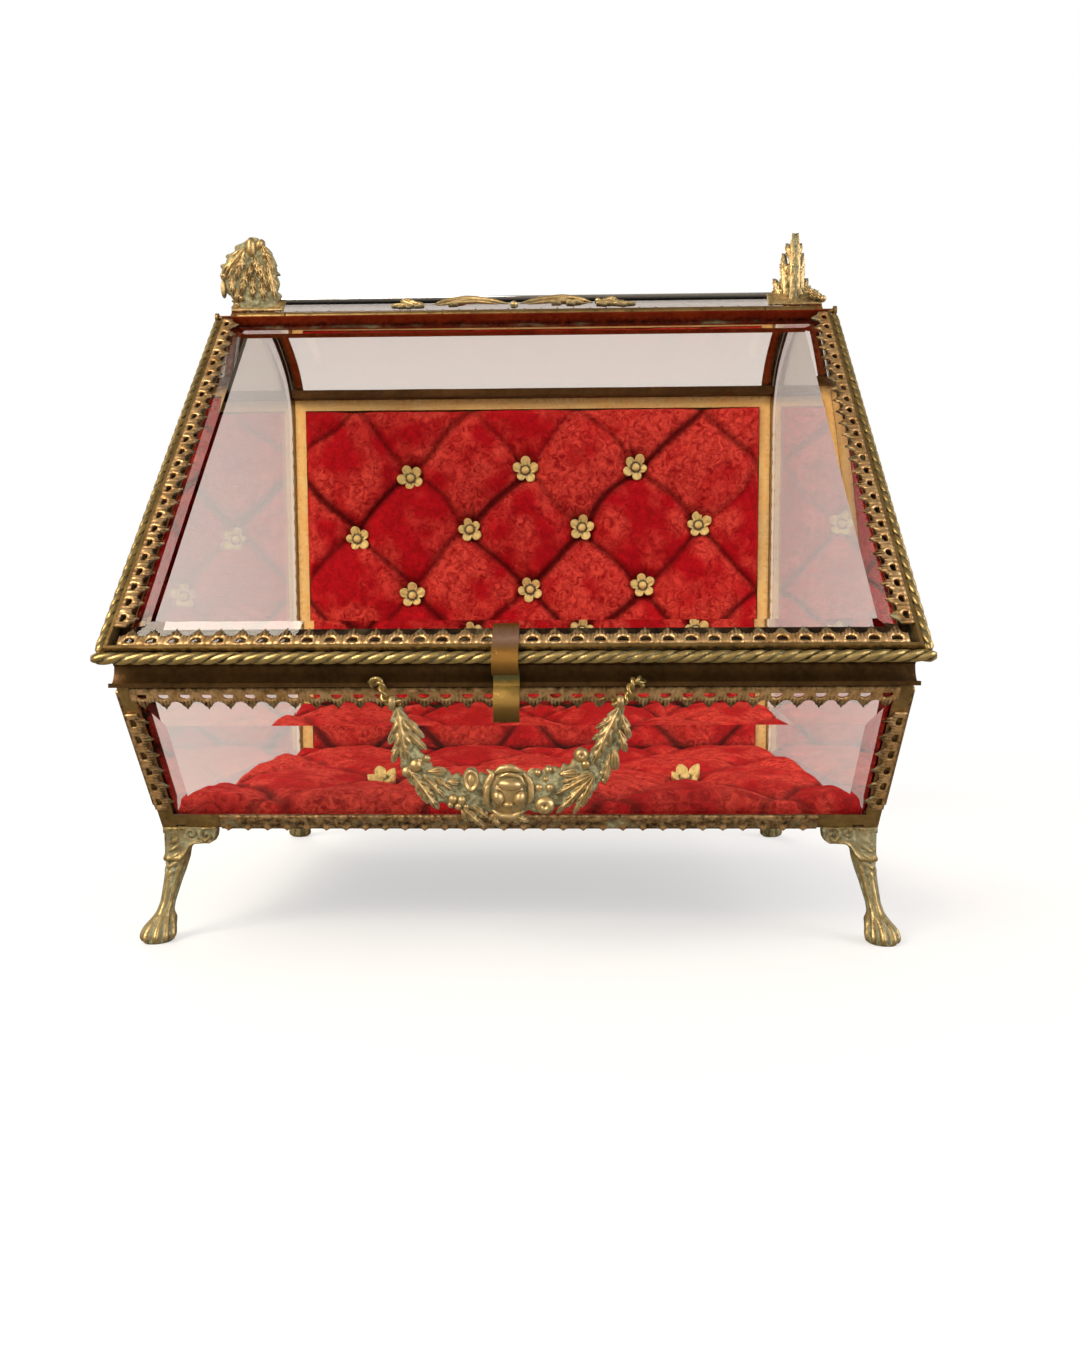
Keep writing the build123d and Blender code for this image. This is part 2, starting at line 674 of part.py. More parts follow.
def build_upholstery():
    side = inner_half - glass - 2 * glass_gap
    plate_low = foot_height + sheet
    plate_top = plate_low + sheet
    back_inset = sheet + glass_gap
    board_back = body_depth - back_inset - sheet
    board_front = board_back - board
    glass_back = sheet + glass + glass_gap

    # The brass back follows the bent top's line up to the top rail.
    outer, inner = back_inset, back_inset + sheet
    panel_low = plate_low + glass_gap
    out_arc = arc(rear_centre, arch_rear_radius - outer, 0, arc_angle(border_top, outer))
    in_arc = arc(rear_centre, arch_rear_radius - inner, 0, arc_angle(border_top, inner))
    ends = [Line(out_arc @ 1, in_arc @ 1),
            Polyline((body_depth - outer, arch_foot), (body_depth - outer, panel_low),
                     (body_depth - inner, panel_low), (body_depth - inner, arch_foot))]
    reach = inner_half - glass_gap
    save("back_panel", across([out_arc, in_arc] + ends, -reach, reach))

    # The floor plate ends a panel's gap behind the front glass.
    plate_front = base_front(glass_back + glass_gap, sheet)[0]
    save("base_plate", block((-side, side), (plate_front, board_front), (plate_low, plate_top)))
    pin_hole = stud_shank + pin_clearance
    card = block((-side, side), (board_front, board_back), (plate_low + glass_gap, arch_foot))
    for x, z in stud_grid():
        card -= Pos(x, board_front, z) * Rot(90, 0, 0) * Cylinder(pin_hole, 3 * board)
    save("back_board", card)

    # Three gilt strips frame the back cushion, and the top one fills the curve behind it.
    strip_front = board_front - border_thick
    curve = arc(rear_centre, arch_rear_radius - inner, arc_angle(border_top - border, inner),
                arc_angle(border_top, inner))
    top_strip = [curve, Polyline(end_point(curve, 1), (strip_front, border_top),
                                 (strip_front, border_top - border), end_point(curve, 0))]
    strips = [across(top_strip, -side, side)]
    for sign in (-1, 1):
        strips.append(block((sign * (side - border), sign * side), (strip_front, board_front),
                            (floor_top, border_top - border)))
    save("back_border", group(strips))

    floor_front = base_front(glass_back, sheet + glass_gap)[0] + glass_gap
    floor = block((-side, side), (floor_front, board_front), (plate_top, floor_top))
    for x, y in floor_studs():
        floor -= Pos(x, y, plate_top) * Cylinder(pin_hole, 3 * floor_board_thick)
    save("floor_board", floor)

    # The back cushion is drawn on a plane that faces the front, with its own Y up.
    back_plane = Plane(origin=(0, board_front, 0), x_dir=(1, 0, 0), z_dir=(0, -1, 0))
    pad_side = side - border - pad_gap
    back_x = (-pad_side, pad_side)
    back_y = (floor_top + back_lift, border_top - border - pad_gap)
    tufts = stud_grid()
    pad = cushion(back_x, back_y, back_pad, tufts, back_tuft, back_creases(tufts, back_x, back_y))
    save("back_cushion", back_plane.location * pad)
    pin = stud(back_pad - back_tuft + 0.8 * board)
    save("back_studs", group([back_plane.location * Pos(x, z, back_pad - back_tuft + pad_gap) * pin
                              for x, z in tufts]))

    # The floor cushion lies on its board, in front of the back cushion's lower edge.
    floor_plane = Plane(origin=(0, 0, floor_top), x_dir=(1, 0, 0), z_dir=(0, 0, 1))
    floor_x = (-(side - pad_gap), side - pad_gap)
    floor_y = (floor_front + pad_gap, board_front - back_pad - pad_gap)
    places = floor_studs()
    seams = []
    for x, y in places:
        for reach in (-1, 1):
            seams.append(((x, y), (x + reach * floor_stud_pitch / 2, floor_y[0])))
            seams.append(((x, y), (x + reach * floor_stud_pitch / 2, floor_y[1])))
    pad = cushion(floor_x, floor_y, floor_pad, places, floor_tuft, seams)
    save("floor_cushion", floor_plane.location * pad)
    pin = stud(floor_pad - floor_tuft + 0.8 * floor_board_thick)
    save("floor_studs", group([floor_plane.location * Pos(x, y, floor_pad - floor_tuft + pad_gap) * pin
                               for x, y in places]))


# Feet


def leg_section(z, x, y, width, depth):
    """Level oval of a leg about a point, its long axis towards the corner."""
    return Plane(origin=(x, y, z), x_dir=(1, 1, 0), z_dir=(0, 0, 1)).location * Ellipse(width / 2, depth / 2)


def foot():
    """Cabriole foot for the right rear corner, which is at x = 0, y = 0, with its top at z = 0.

    The leg is drawn through level ovals: a full knee under the frame, a thin ankle and a paw
    that turns out at the corner. Two scrolled ears run under the frame.
    """
    knee = -foot_block / 2
    ankle = ankle_height - foot_height
    ground = -foot_height
    out_x, out_y = paw_out_x, paw_out_y
    stations = [(0.0, knee, knee, knee_width, knee_width), (-3.5, knee, knee, knee_width, knee_width - 0.3),
                (-9.0, knee + 0.3, knee + 0.5, knee_width - 0.9, knee_width - 1.3),
                ((ankle - 9.0) / 2, knee + 1.4, knee + 2.1, ankle_width + 1.1, ankle_width + 0.9),
                (ankle, knee + 2.5, knee + 3.8, ankle_width, ankle_width),
                (ground + 7.0, out_x - 1.0, out_y - 2.2, ankle_width + 1.0, ankle_width + 0.8),
                (ground + 4.4, out_x - 0.3, out_y - 0.8, paw_width - 1.6, paw_width - 2.4),
                (ground + 1.8, out_x, out_y, paw_width, paw_width - 1.4),
                (ground, out_x, out_y + 0.2, paw_width - 1.2, paw_width - 2.4)]
    shank = loft([leg_section(*station) for station in stations], ruled=True)
    tip = (1.6 - foot_ear, -foot_ear_height)
    hollow = (6.0 - foot_ear, 0.9 - foot_ear_height)
    ear = [Line((0, 0), (-foot_ear, 0)),
           ThreePointArc((-foot_ear, 0), (-foot_ear - 0.2, -0.5 * foot_ear_height), tip),
           ThreePointArc(tip, (3.6 - foot_ear, 1.2 - foot_ear_height), hollow),
           Polyline(hollow, (-0.7 * foot_block, -2 * foot_ear_height), (0, -2 * foot_ear_height), (0, 0))]
    ear_y = across(ear, -ear_thick, 0)
    ear_x = mirror(ear_y, about=Plane(origin=(0, 0, 0), z_dir=(1, -1, 0)))
    return shank + block((-foot_block, 0), (-foot_block, 0), (-1.6, 0)) + ear_y + ear_x


def build_feet():
    rear_right = foot()
    corners = (("front_left", -1, -1), ("front_right", 1, -1), ("rear_left", -1, 1), ("rear_right", 1, 1))
    for name, sx, sy in corners:
        piece = rear_right
        if sx < 0:
            piece = mirror(piece, about=Plane.YZ)
        if sy < 0:
            piece = mirror(piece, about=Plane.XZ)
        corner = base_corner[0] if sy < 0 else body_depth
        save("foot_" + name, Pos(sx * half, corner, foot_height) * piece)


# Latch, handle and ornaments


def strap(path):
    """Bent brass strap of the latch's width along a (y, z) path of joined edges."""
    ribbon = Plane.YZ.location * trace(path, latch_thick)
    return Pos(fitting_x - latch_width / 2, 0, 0) * extrude(ribbon, amount=latch_width, dir=(1, 0, 0))


def build_latch():
    """The lid's strap bends down over the rope, outside the curl of the catch on the rim."""
    top = seat_gap + sheet + glass + gallery_thick + latch_thick / 2
    start = slope(5.2, top)
    bend = slope(-1.4, top + 0.1)
    elbow = (bend[0] - 2.5, bend[1] - 2.1)
    drop = (bend[0] - 3.0, bend[1] - 5.1)
    save("latch_strap", strap([Line(start, bend), ThreePointArc(bend, elbow, drop),
                               Line(drop, (drop[0] + 0.4, drop[1] - 2.3))]))
    face = -latch_thick / 2
    ledge_top = rim_height + rim_fillet
    curl = [ThreePointArc((face - 4.2, ledge_top + 3.7), (face - 1.8, ledge_top + 2.6), (face, ledge_top)),
            Line((face, ledge_top), (face, rim_height)),
            ThreePointArc((face, rim_height), (face - 2.2, rim_height - 4.0), (face - 1.1, rim_height - 8.5))]
    save("latch_catch", strap(curl))


# Outline of the swag in (x, z) from its pivot axis: leafy arms that widen to the rosette.
# First the lower edge from the left eye to the right, then the upper edge back again.
garland_lower = [(-27.4, -1.2), (-28.7, -10.0), (-27.7, -14.6), (-26.2, -16.8), (-25.5, -18.8), (-22.6, -20.3),
                 (-21.3, -23.9), (-17.2, -26.4), (-11.8, -27.4), (-6.1, -30.8), (-5.4, -27.9), (-1.2, -30.6),
                 (2.7, -30.3), (5.6, -30.1), (6.1, -27.4), (12.2, -27.6), (17.1, -27.4), (19.6, -24.9),
                 (21.3, -18.8), (24.2, -19.8), (25.2, -16.8), (27.4, -15.4), (29.1, -11.9), (30.1, -8.3),
                 (28.7, -1.2)]
garland_upper = [(27.0, -1.2), (25.7, -4.8), (22.5, -6.3), (21.3, -8.5), (23.3, -10.0), (20.8, -12.4), (17.1, -11.9),
                 (18.1, -16.1), (10.8, -15.9), (6.6, -17.3), (2.2, -15.4), (-1.2, -15.9), (-5.9, -17.3),
                 (-8.6, -16.1), (-10.3, -17.8), (-14.2, -18.1), (-15.2, -16.8), (-18.9, -13.4), (-22.1, -13.4),
                 (-19.9, -11.0), (-21.3, -8.3), (-24.0, -3.8), (-26.0, -1.2)]
garland_fruit = [(-8.6, -19.6, 1.9), (9.3, -18.6, 1.7), (9.3, -24.8, 2.2), (18.6, -15.4, 1.6), (-18.6, -17.4, 1.8),
                 (-24.4, -11.5, 1.7), (25.0, -11.2, 1.7)]
rosette_centre = (0.7, -22.2)


def build_handle():
    pivot = Plane(origin=(fitting_x, pivot_y, pivot_z), x_dir=(1, 0, 0), z_dir=(0, -1, 0))
    outline = [(x * garland_unit, y * garland_unit) for x, y in garland_lower + garland_upper]
    swag = extrude(make_face(loop(outline)), amount=garland_thick / 2, both=True)
    middle = Pos(rosette_centre[0] * garland_unit, rosette_centre[1] * garland_unit, 0)
    front_half = block((-loop_half, loop_half), (-loop_half, loop_half), (0, loop_half))
    swag += middle * Pos(0, 0, rosette_rise / 2) * Cylinder(rosette_radius, rosette_rise)
    swag += middle * (Pos(0, 0, bud_lift) * Sphere(rosette_bud) & front_half)
    for x, y, r in garland_fruit:
        fruit = Pos(0, 0, fruit_lift) * Sphere(r * garland_unit) & Pos(0, 0, -garland_thick / 2) * front_half
        swag += Pos(x * garland_unit, y * garland_unit, 0) * fruit
    bore = wire_radius + eye_clearance
    for sign in (-1, 1):
        place = Pos(sign * loop_half, 0, 0) * Rot(0, 90, 0)
        swag += place * Cylinder(bore + eye_wall, eye_width)
        swag -= place * Cylinder(bore, 3 * eye_width)
    save("garland_handle", pivot.location * swag)

    # Each wire loop leaves the cove, comes down in front of the rim and turns in through the eye.
    eye_x = fitting_x + loop_half
    outer_x = eye_x + eye_width / 2 + wire_side
    wall_y = cove_depth + wire_radius / 2
    path = FilletPolyline((outer_x, wall_y, rim_height + wire_rise), (outer_x, pivot_y, rim_height + wire_shoulder),
                          (outer_x - 0.8 * wire_radius, pivot_y, pivot_z),
                          (eye_x - eye_width / 2 - wire_end, pivot_y, pivot_z), radius=wire_bend)
    section = Plane(origin=path @ 0, z_dir=path % 0).location * Circle(wire_radius)
    wire = sweep(section, path=path) - bodies["rim_moulding"]
    save("wire_loop_right", wire)
    save("wire_loop_left", mirror(wire, about=Plane(origin=(fitting_x, 0, 0), z_dir=(1, 0, 0))))


def finial(fold):
    """Folded leaf that stands on the bent top: a V-shaped plan, cut to an acanthus outline.

    fold is how far each wing is turned back from straight across, in degrees.
    """
    h = finial_height
    reach = finial_wing * cos(radians(fold))
    back = finial_wing * sin(radians(fold))
    plan = loop([(0, -finial_thick), (reach, back - finial_thick), (reach, back), (0, 0), (-reach, back),
                 (-reach, back - finial_thick)])
    right = [(1.0, 0.0), (0.84, 0.34), (1.0, 0.42), (0.98, 0.58), (0.8, 0.64), (0.86, 0.76), (0.6, 0.82),
             (0.56, 0.92), (0.24, 0.95)]
    edge = [(x * reach, z * h) for x, z in right]
    outline = edge + [(0, h)] + [(-x, z) for x, z in reversed(edge)]
    front = Plane.XZ.location * extrude(make_face(loop(outline)), amount=2 * finial_wing, both=True)
    return extrude(make_face(plan), amount=h) & front


def build_ornaments():
    """Corner leaves on their plates, and the low crest between them along the ridge."""
    under = across(side_outline(0, 0, 0, 0), -half - 4, half + 4)
    plate_start = arch_start + ridge_strip_gap + gallery_band + gallery_tooth + finial_plate_gap
    root = slope(plate_start, 0)[1] - finial_sink
    leaf_y = slope(run_end, 0)[0] - finial_lead
    corners = (("left", -1, finial_left_inset, 18.0), ("right", 1, finial_right_inset, 55.0))
    for name, sign, inset, fold in corners:
        leaf = Pos(sign * (half - inset), leaf_y, root) * finial(fold)
        along = (plate_start, run_end + finial_thick)
        plate = block((sign * half, sign * (half - finial_plate)), along, (0, finial_plate_thick), lid_plane)
        save("finial_" + name, (leaf - under) + (plate - under))

    crest_start = arch_start + ridge_strip_gap + gallery_band + gallery_tooth + crest_gap
    crest_plane = Plane(origin=(crest_offset, *slope(crest_start, 0)), x_dir=(1, 0, 0),
                        z_dir=(0, -sin(tilt), cos(tilt)))
    lift = crest_width / 2 + 0.3
    outline = Pos(0, lift) * Circle(crest_boss / 2)
    for sign in (-1, 1):
        scroll_x = (crest_scroll + crest_boss) / 2 - 1.0
        boss_x = scroll_x + (crest_scroll + crest_boss) / 2 - 1.0
        end_x = boss_x + (crest_end + crest_boss) / 2 - 1.0
        outline += [Pos(sign * scroll_x, lift) * Ellipse(crest_scroll / 2, crest_width / 2),
                    Pos(sign * boss_x, lift) * Circle(crest_boss / 2),
                    Pos(sign * end_x, lift) * Ellipse(crest_end / 2, crest_width / 2)]
    save("top_crest", crest_plane.location * extrude(outline, amount=crest_height))


build_side_frames()
build_cross_rails()
build_glass()
build_lid()
build_hinge()
build_galleries()
build_upholstery()
build_feet()
build_latch()
build_handle()
build_ornaments()
save_all()
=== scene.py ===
import json
import bmesh
import bpy
import numpy as np
from mathutils import Matrix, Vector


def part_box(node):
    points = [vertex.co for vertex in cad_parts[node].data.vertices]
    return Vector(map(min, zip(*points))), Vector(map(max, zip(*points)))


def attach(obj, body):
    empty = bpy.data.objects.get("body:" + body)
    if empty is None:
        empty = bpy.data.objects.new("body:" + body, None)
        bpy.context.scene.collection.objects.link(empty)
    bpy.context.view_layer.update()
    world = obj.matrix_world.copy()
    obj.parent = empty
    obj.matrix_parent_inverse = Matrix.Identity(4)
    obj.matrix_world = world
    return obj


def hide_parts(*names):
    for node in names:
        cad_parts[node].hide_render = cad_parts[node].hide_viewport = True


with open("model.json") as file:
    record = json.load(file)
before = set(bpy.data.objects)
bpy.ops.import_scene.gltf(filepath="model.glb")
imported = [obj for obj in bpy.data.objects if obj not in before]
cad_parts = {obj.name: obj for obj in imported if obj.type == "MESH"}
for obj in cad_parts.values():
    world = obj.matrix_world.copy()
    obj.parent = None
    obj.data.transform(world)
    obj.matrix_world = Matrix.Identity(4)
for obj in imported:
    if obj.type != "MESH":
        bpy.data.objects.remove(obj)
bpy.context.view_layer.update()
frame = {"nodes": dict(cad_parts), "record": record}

# A brass table casket with bevelled glass and a buttoned velvet lining. The CAD nodes give the
# frame bars, panes and boards. The ornament, rope, pierced trim, feet and cushions are made here.
# Shapes are worked out in millimetres, with X across, Y to the back and Z up from the table.

MM = 0.001
ACROSS, BACK, UP = np.eye(3)
FORWARD = (ACROSS, UP, -BACK)        # axes of an ornament that faces the front
SIDES = ((1, "right"), (-1, "left"))

# Sizes that the ornament needs from the casket
RIM_FRONT = -89.3267         # front edge of the rim
TILT = np.radians(47.5)      # slope of the lid
SEAT = 80.2                  # foot of that slope above the table
HALF = 100.0                 # half width over the side frames
SHEET = 0.8                  # thickness of the brass sheet
LEG = 31.5                   # height of the feet
BASE_FRONT = RIM_FRONT + 29.5
BACK_FACE = RIM_FRONT + 178.5
POST = 48.8413               # front glass line, base to rim
POST_UP = np.array([0, -27.0, 40.7]) / POST
POST_OUT = np.array([0, -40.7, -27.0]) / POST
BASE = np.array([0, BASE_FRONT, LEG])
LID_UP = np.array([0, np.cos(TILT), np.sin(TILT)])
LID_OUT = np.array([0, -np.sin(TILT), np.cos(TILT)])
LID_FOOT = np.array([0, RIM_FRONT, SEAT])
SLOPE = (ACROSS, LID_UP, LID_OUT)    # axes of one that lies on the lid's slope
LID_BODY = 2.55              # middle of the lid frame above its seat
RIDGE = 150.1                # front edge of the strip on the ridge, up the lid's slope
PIVOT = np.array([-1.0, RIM_FRONT - 2.9, 68.4])     # line of the handle's wires
BEND_FOOT = 168.226          # where the bent top leaves the back wall
BEND_RADIUS = 30.0
# The three arcs of the bent top from the ridge down: middle counted from the rim, radius and angles
BEND = (((123.516, 185.390), 20.0, 137.5, 90), ((123.516, 128.243), 77.148, 90, 58),
        ((148.5, BEND_FOOT), BEND_RADIUS, 58, 29))

# Sizes of the ornament itself
PITCH = 5.53                 # one window and tooth of the pierced trim
TRIM = 5.7                   # height of the trim
STAMPED = 0.55               # its thickness between the ribs
GAP = 1.2                    # left free where two strips meet
HEM = 4.8                    # height of the plain strip along the base
ROPE = 1.55                  # radius of the rope


# Meshes


def piece(name, parts, body, finish, replaces=(), smooth=True):
    """One object from several parts, each a tuple of points, quads, recess and position on the surface.

    Points are in millimetres. Recess runs from 0 on a high spot to 1 in a hollow, and is painted shade on the
    velvet.
    The last array gives two coordinates in millimetres that follow the surface. Doubled points are merged and
    faces turned out.
    """
    starts = np.cumsum([0] + [len(part[0]) for part in parts])
    quads = np.concatenate([part[1] + start for part, start in zip(parts, starts)])
    points, recess, trail = [np.concatenate([part[k] for part in parts]) for k in (0, 2, 3)]
    mesh = bpy.data.meshes.new(name)
    mesh.vertices.add(len(points))
    mesh.vertices.foreach_set("co", (points * MM).astype(np.float32).ravel())
    mesh.loops.add(quads.size)
    mesh.loops.foreach_set("vertex_index", quads.astype(np.int32).ravel())
    mesh.polygons.add(len(quads))
    mesh.polygons.foreach_set("loop_start", np.arange(0, quads.size, 4, dtype=np.int32))
    mesh.update(calc_edges=True)
    mesh.attributes.new("recess", "FLOAT", "POINT").data.foreach_set("value", recess.astype(np.float32))
    uv = mesh.uv_layers.new(name="surface")
    uv.data.foreach_set("uv", (trail * MM)[quads.ravel()].astype(np.float32).ravel())
    work = bmesh.new()
    work.from_mesh(mesh)
    bmesh.ops.remove_doubles(work, verts=work.verts, dist=1e-6)
    bmesh.ops.dissolve_degenerate(work, edges=work.edges, dist=1e-7)
    bmesh.ops.recalc_face_normals(work, faces=work.faces)
    work.to_mesh(mesh)
    work.free()
    mesh.polygons.foreach_set("use_smooth", np.full(len(mesh.polygons), smooth))
    made = bpy.data.objects.new(name, mesh)
    bpy.context.scene.collection.objects.link(made)
    mesh.materials.append(finish)
    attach(made, body)
    if replaces:
        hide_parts(*replaces)
    return made


def weave(n, m, join_rows=False, join_columns=False):
    """Quads of a grid of n by m points, whose last row or column may join the first."""
    i, j = np.meshgrid(np.arange(n - 1 + join_rows), np.arange(m - 1 + join_columns), indexing="ij")
    corners = [(i + a) % n * m + (j + b) % m for a, b in ((0, 0), (1, 0), (1, 1), (0, 1))]
    return np.stack(corners, -1).reshape(-1, 4)


def shell(front, back, recess=None, trail=None, keep=None):
    """Closed sheet between two grids of points front[i, j] and back[i, j].

    Cells left out by keep are openings, and walls join the grids along every border of the kept cells.
    """
    n, m = front.shape[:2]
    keep = np.ones((n - 1, m - 1), bool) if keep is None else keep
    recess = np.zeros((n, m)) if recess is None else recess
    trail = front[..., :2] if trail is None else trail
    a, b, c, d = np.moveaxis(weave(n, m).reshape(n - 1, m - 1, 4), -1, 0)
    quads = [np.stack([a, b, c, d], -1)[keep], np.stack([d, c, b, a], -1)[keep] + n * m]
    around = np.pad(keep, 1)
    borders = ((a, b, around[1:-1, :-2]), (b, c, around[2:, 1:-1]), (c, d, around[1:-1, 2:]),
               (d, a, around[:-2, 1:-1]))
    for p, q, beyond in borders:
        edge = keep & ~beyond
        quads.append(np.stack([q[edge], p[edge], p[edge] + n * m, q[edge] + n * m], -1))
    points = np.concatenate([front.reshape(-1, 3), back.reshape(-1, 3)])
    return points, np.concatenate(quads), np.tile(recess.ravel(), 2), np.tile(trail.reshape(-1, 2), (2, 1))


def unit(vectors):
    """Vectors divided by their lengths."""
    return vectors / np.linalg.norm(vectors, axis=-1, keepdims=True)


def circle(count):
    """Angles of points spread evenly round a circle."""
    return np.linspace(0, 2 * np.pi, count + 1)[:-1]


def closed(grid):
    """The grid with its first column once more at the end."""
    return np.concatenate([grid, grid[:, :1]], 1)


def tube(path, ring, facing, recess=None):
    """Closed tube: at each point of the path, ring[k] gives the section's outline as (side, up).

    Side is square to the path and to facing, up is square to both, and the two ends are drawn in to points.
    """
    along = unit(np.gradient(path, axis=0))
    side = unit(np.cross(along, facing))
    up = np.cross(side, along)
    recess = np.zeros((len(path), ring.shape[-2])) if recess is None else recess
    ring = np.concatenate([ring[:1] * 0, ring, ring[-1:] * 0])
    grow = [0, *range(len(path)), len(path) - 1]
    skin = closed(path[grow, None] + ring[..., :1] * side[grow, None] + ring[..., 1:] * up[grow, None])
    n, m = skin.shape[:2]
    run = np.cumsum(np.r_[0, np.linalg.norm(np.diff(path, axis=0), axis=1)])[grow]
    trail = np.stack(np.broadcast_arrays(run[:, None], np.linspace(0, 6, m)), -1)
    return skin.reshape(-1, 3), weave(n, m), closed(recess[grow]).ravel(), trail.reshape(-1, 2)


def wheel(radius, height, recess, base=0.0, stretch=(1.0, 1.0)):
    """Round closed part from grids over angles and rings of radius, height and recess, middle ring first.

    A flat back at the height base closes it. Stretch makes ovals.
    """
    n, m = radius.shape
    radius = np.concatenate([radius, radius[:, -1:], radius[:, :1] * 0], 1)
    height = np.concatenate([height, np.full((n, 2), base)], 1)
    recess = np.concatenate([recess, recess[:, -1:], recess[:, -1:]], 1)
    angle = circle(n)[:, None]
    skin = np.stack([stretch[0] * radius * np.cos(angle), stretch[1] * radius * np.sin(angle), height], -1)
    skin[:, 0] = [0, 0, height[:, 0].mean()]
    points = skin.reshape(-1, 3)
    return points, weave(n, m + 2, join_rows=True), recess.ravel(), points[:, :2]


def knob(width, length, height, dimple, base, rim=0.0):
    """Oval fruit, berry or button: a dome of height times the root of 1 - r^2, with a dimple in its middle.

    A rim is a raised border, rim high, round a flatter middle.
    """
    r = np.linspace(0, 1, 9)[None] * np.ones((22, 1))
    dome = np.sqrt(np.clip(1 - r ** 2, 0, 1))
    z = height * dome - dimple * np.exp(-(r / 0.22) ** 2) + rim * np.exp(-((r - 0.72) / 0.13) ** 2)
    recess = np.clip(1.0 - 1.25 * dome, 0, 1) + 0.7 * (dimple > 0) * np.exp(-(r / 0.2) ** 2)
    return wheel(r, z, recess, base, (width / 2, length / 2))


def leaf(length, width, lobes, lift, notch, base):
    """Cast leaf that points up Y from its stalk.

    Half its width is width / 2 * sin(pi t^0.8)^0.7, each lobe widens by notch from its root to its tip, and
    a sharp cut divides it from the next.
    A raised midrib, a groove on both sides of it and slanting veins stand on a rounded face.
    """
    t = np.linspace(0.015, 1, 34)[:, None] * np.ones((1, 15))
    s = np.linspace(-1, 1, 15)[None] * np.ones((34, 1))
    saw = (lobes * t) % 1.0
    half_width = width / 2 * np.sin(np.pi * t ** 0.8 * 0.985) ** 0.7 * (1 - notch + notch * saw ** 0.8)
    x = s * half_width
    y = length * t + 0.16 * length / lobes * np.abs(s) * np.sin(np.pi * t)
    vein = np.cos(2 * np.pi * (lobes * t - 0.55 * np.abs(s)))
    rib = np.exp(-(s / 0.13) ** 2) - 0.8 * np.exp(-((np.abs(s) - 0.3) / 0.14) ** 2)
    swell = np.sqrt(np.clip(1 - 0.86 * s ** 2, 0, 1)) * np.sin(np.pi * (0.12 + 0.8 * t)) ** 0.6
    z = lift * swell + 0.2 * lift * rib + 0.14 * lift * vein * (np.abs(s) > 0.2)
    recess = np.clip(1.02 - 0.95 * z / lift + 0.2 * s ** 2, 0, 1)
    return shell(np.stack([x, y, z], -1), np.stack([x * 0.9, y, np.full_like(x, base)], -1), recess)


def placed(part, origin, across, up, out):
    """A part drawn in (x, y, z), set at an origin with its axes along three directions."""
    x, y, z = part[0].T[..., None]
    return (origin + x * across + y * up + z * out, *part[1:])


def turned(part, angle, x, y, z=0.0):
    """A part turned by an angle in degrees in its own plane and moved."""
    c, s = np.cos(np.radians(angle)), np.sin(np.radians(angle))
    px, py, pz = part[0].T
    return (np.stack([px * c - py * s + x, px * s + py * c + y, pz + z], -1), *part[1:])


def mirrored(part):
    """The same part on the other side of the casket."""
    return (part[0] * [-1, 1, 1], *part[1:])


def spaced(points, count, axes):
    """Points at even distances on the straight runs through points, and each one's distance from the start.

    The distance is measured in the first axes coordinates.
    """
    points = np.array(points, float)
    knots = np.r_[0, np.cumsum(np.linalg.norm(np.diff(points[:, :axes], axis=0), axis=1))]
    run = np.linspace(0, knots[-1], count)
    return run, np.stack([np.interp(run, knots, column) for column in points.T], -1)


def eased(line, times):
    """Rounds a line: each inner point becomes half itself and a quarter of each neighbour, times over."""
    for _ in range(times):
        line[1:-1] = 0.25 * line[:-2] + 0.5 * line[1:-1] + 0.25 * line[2:]
    return line


def smooth_step(t):
    """3 t^2 - 2 t^3, with t held between 0 and 1."""
    t = np.clip(t, 0, 1)
    return t * t * (3 - 2 * t)


def cloud(x, y, size, seed):
    """Smooth random heights from -1 to 1 whose bumps are about size apart.

    Random values on a square lattice are blended along both directions with an S-shaped weight.
    """
    rng = np.random.default_rng(seed)
    lattice = rng.uniform(-1, 1, (97, 97))
    u, v = x / size + 41.3, y / size + 37.7
    i, j = np.floor(u).astype(int), np.floor(v).astype(int)
    p, q = smooth_step(u - i), smooth_step(v - j)
    corner = [lattice[(i + a) % 97, (j + b) % 97] for a in (0, 1) for b in (0, 1)]
    return (corner[0] * (1 - q) + corner[1] * q) * (1 - p) + (corner[2] * (1 - q) + corner[3] * q) * p


# Finishes


def shade(code):
    """An sRGB hex colour as linear red, green, blue and alpha."""
    value = np.array([int(code[i:i + 2], 16) for i in (1, 3, 5)]) / 255
    linear = np.where(value <= 0.04045, value / 12.92, ((value + 0.055) / 1.055) ** 2.4)
    return (*linear.tolist(), 1.0)


def add(tree, kind, inputs=(), **settings):
    """Adds a node with its settings, and gives each input a value, a socket or a node's first output."""
    made = tree.nodes.new("ShaderNode" + kind)
    for name, value in settings.items():
        setattr(made, name, value)
    for name, value in dict(inputs).items():
        if isinstance(value, bpy.types.Node):
            value = next(socket for socket in value.outputs if socket.enabled)
        if isinstance(value, bpy.types.NodeSocket):
            tree.links.new(value, made.inputs[name])
        else:
            made.inputs[name].default_value = value
    return made


def blank(name):
    """A new finish with an empty node tree."""
    finish = bpy.data.materials.new(name)
    finish.use_nodes = True
    finish.node_tree.nodes.clear()
    return finish, finish.node_tree


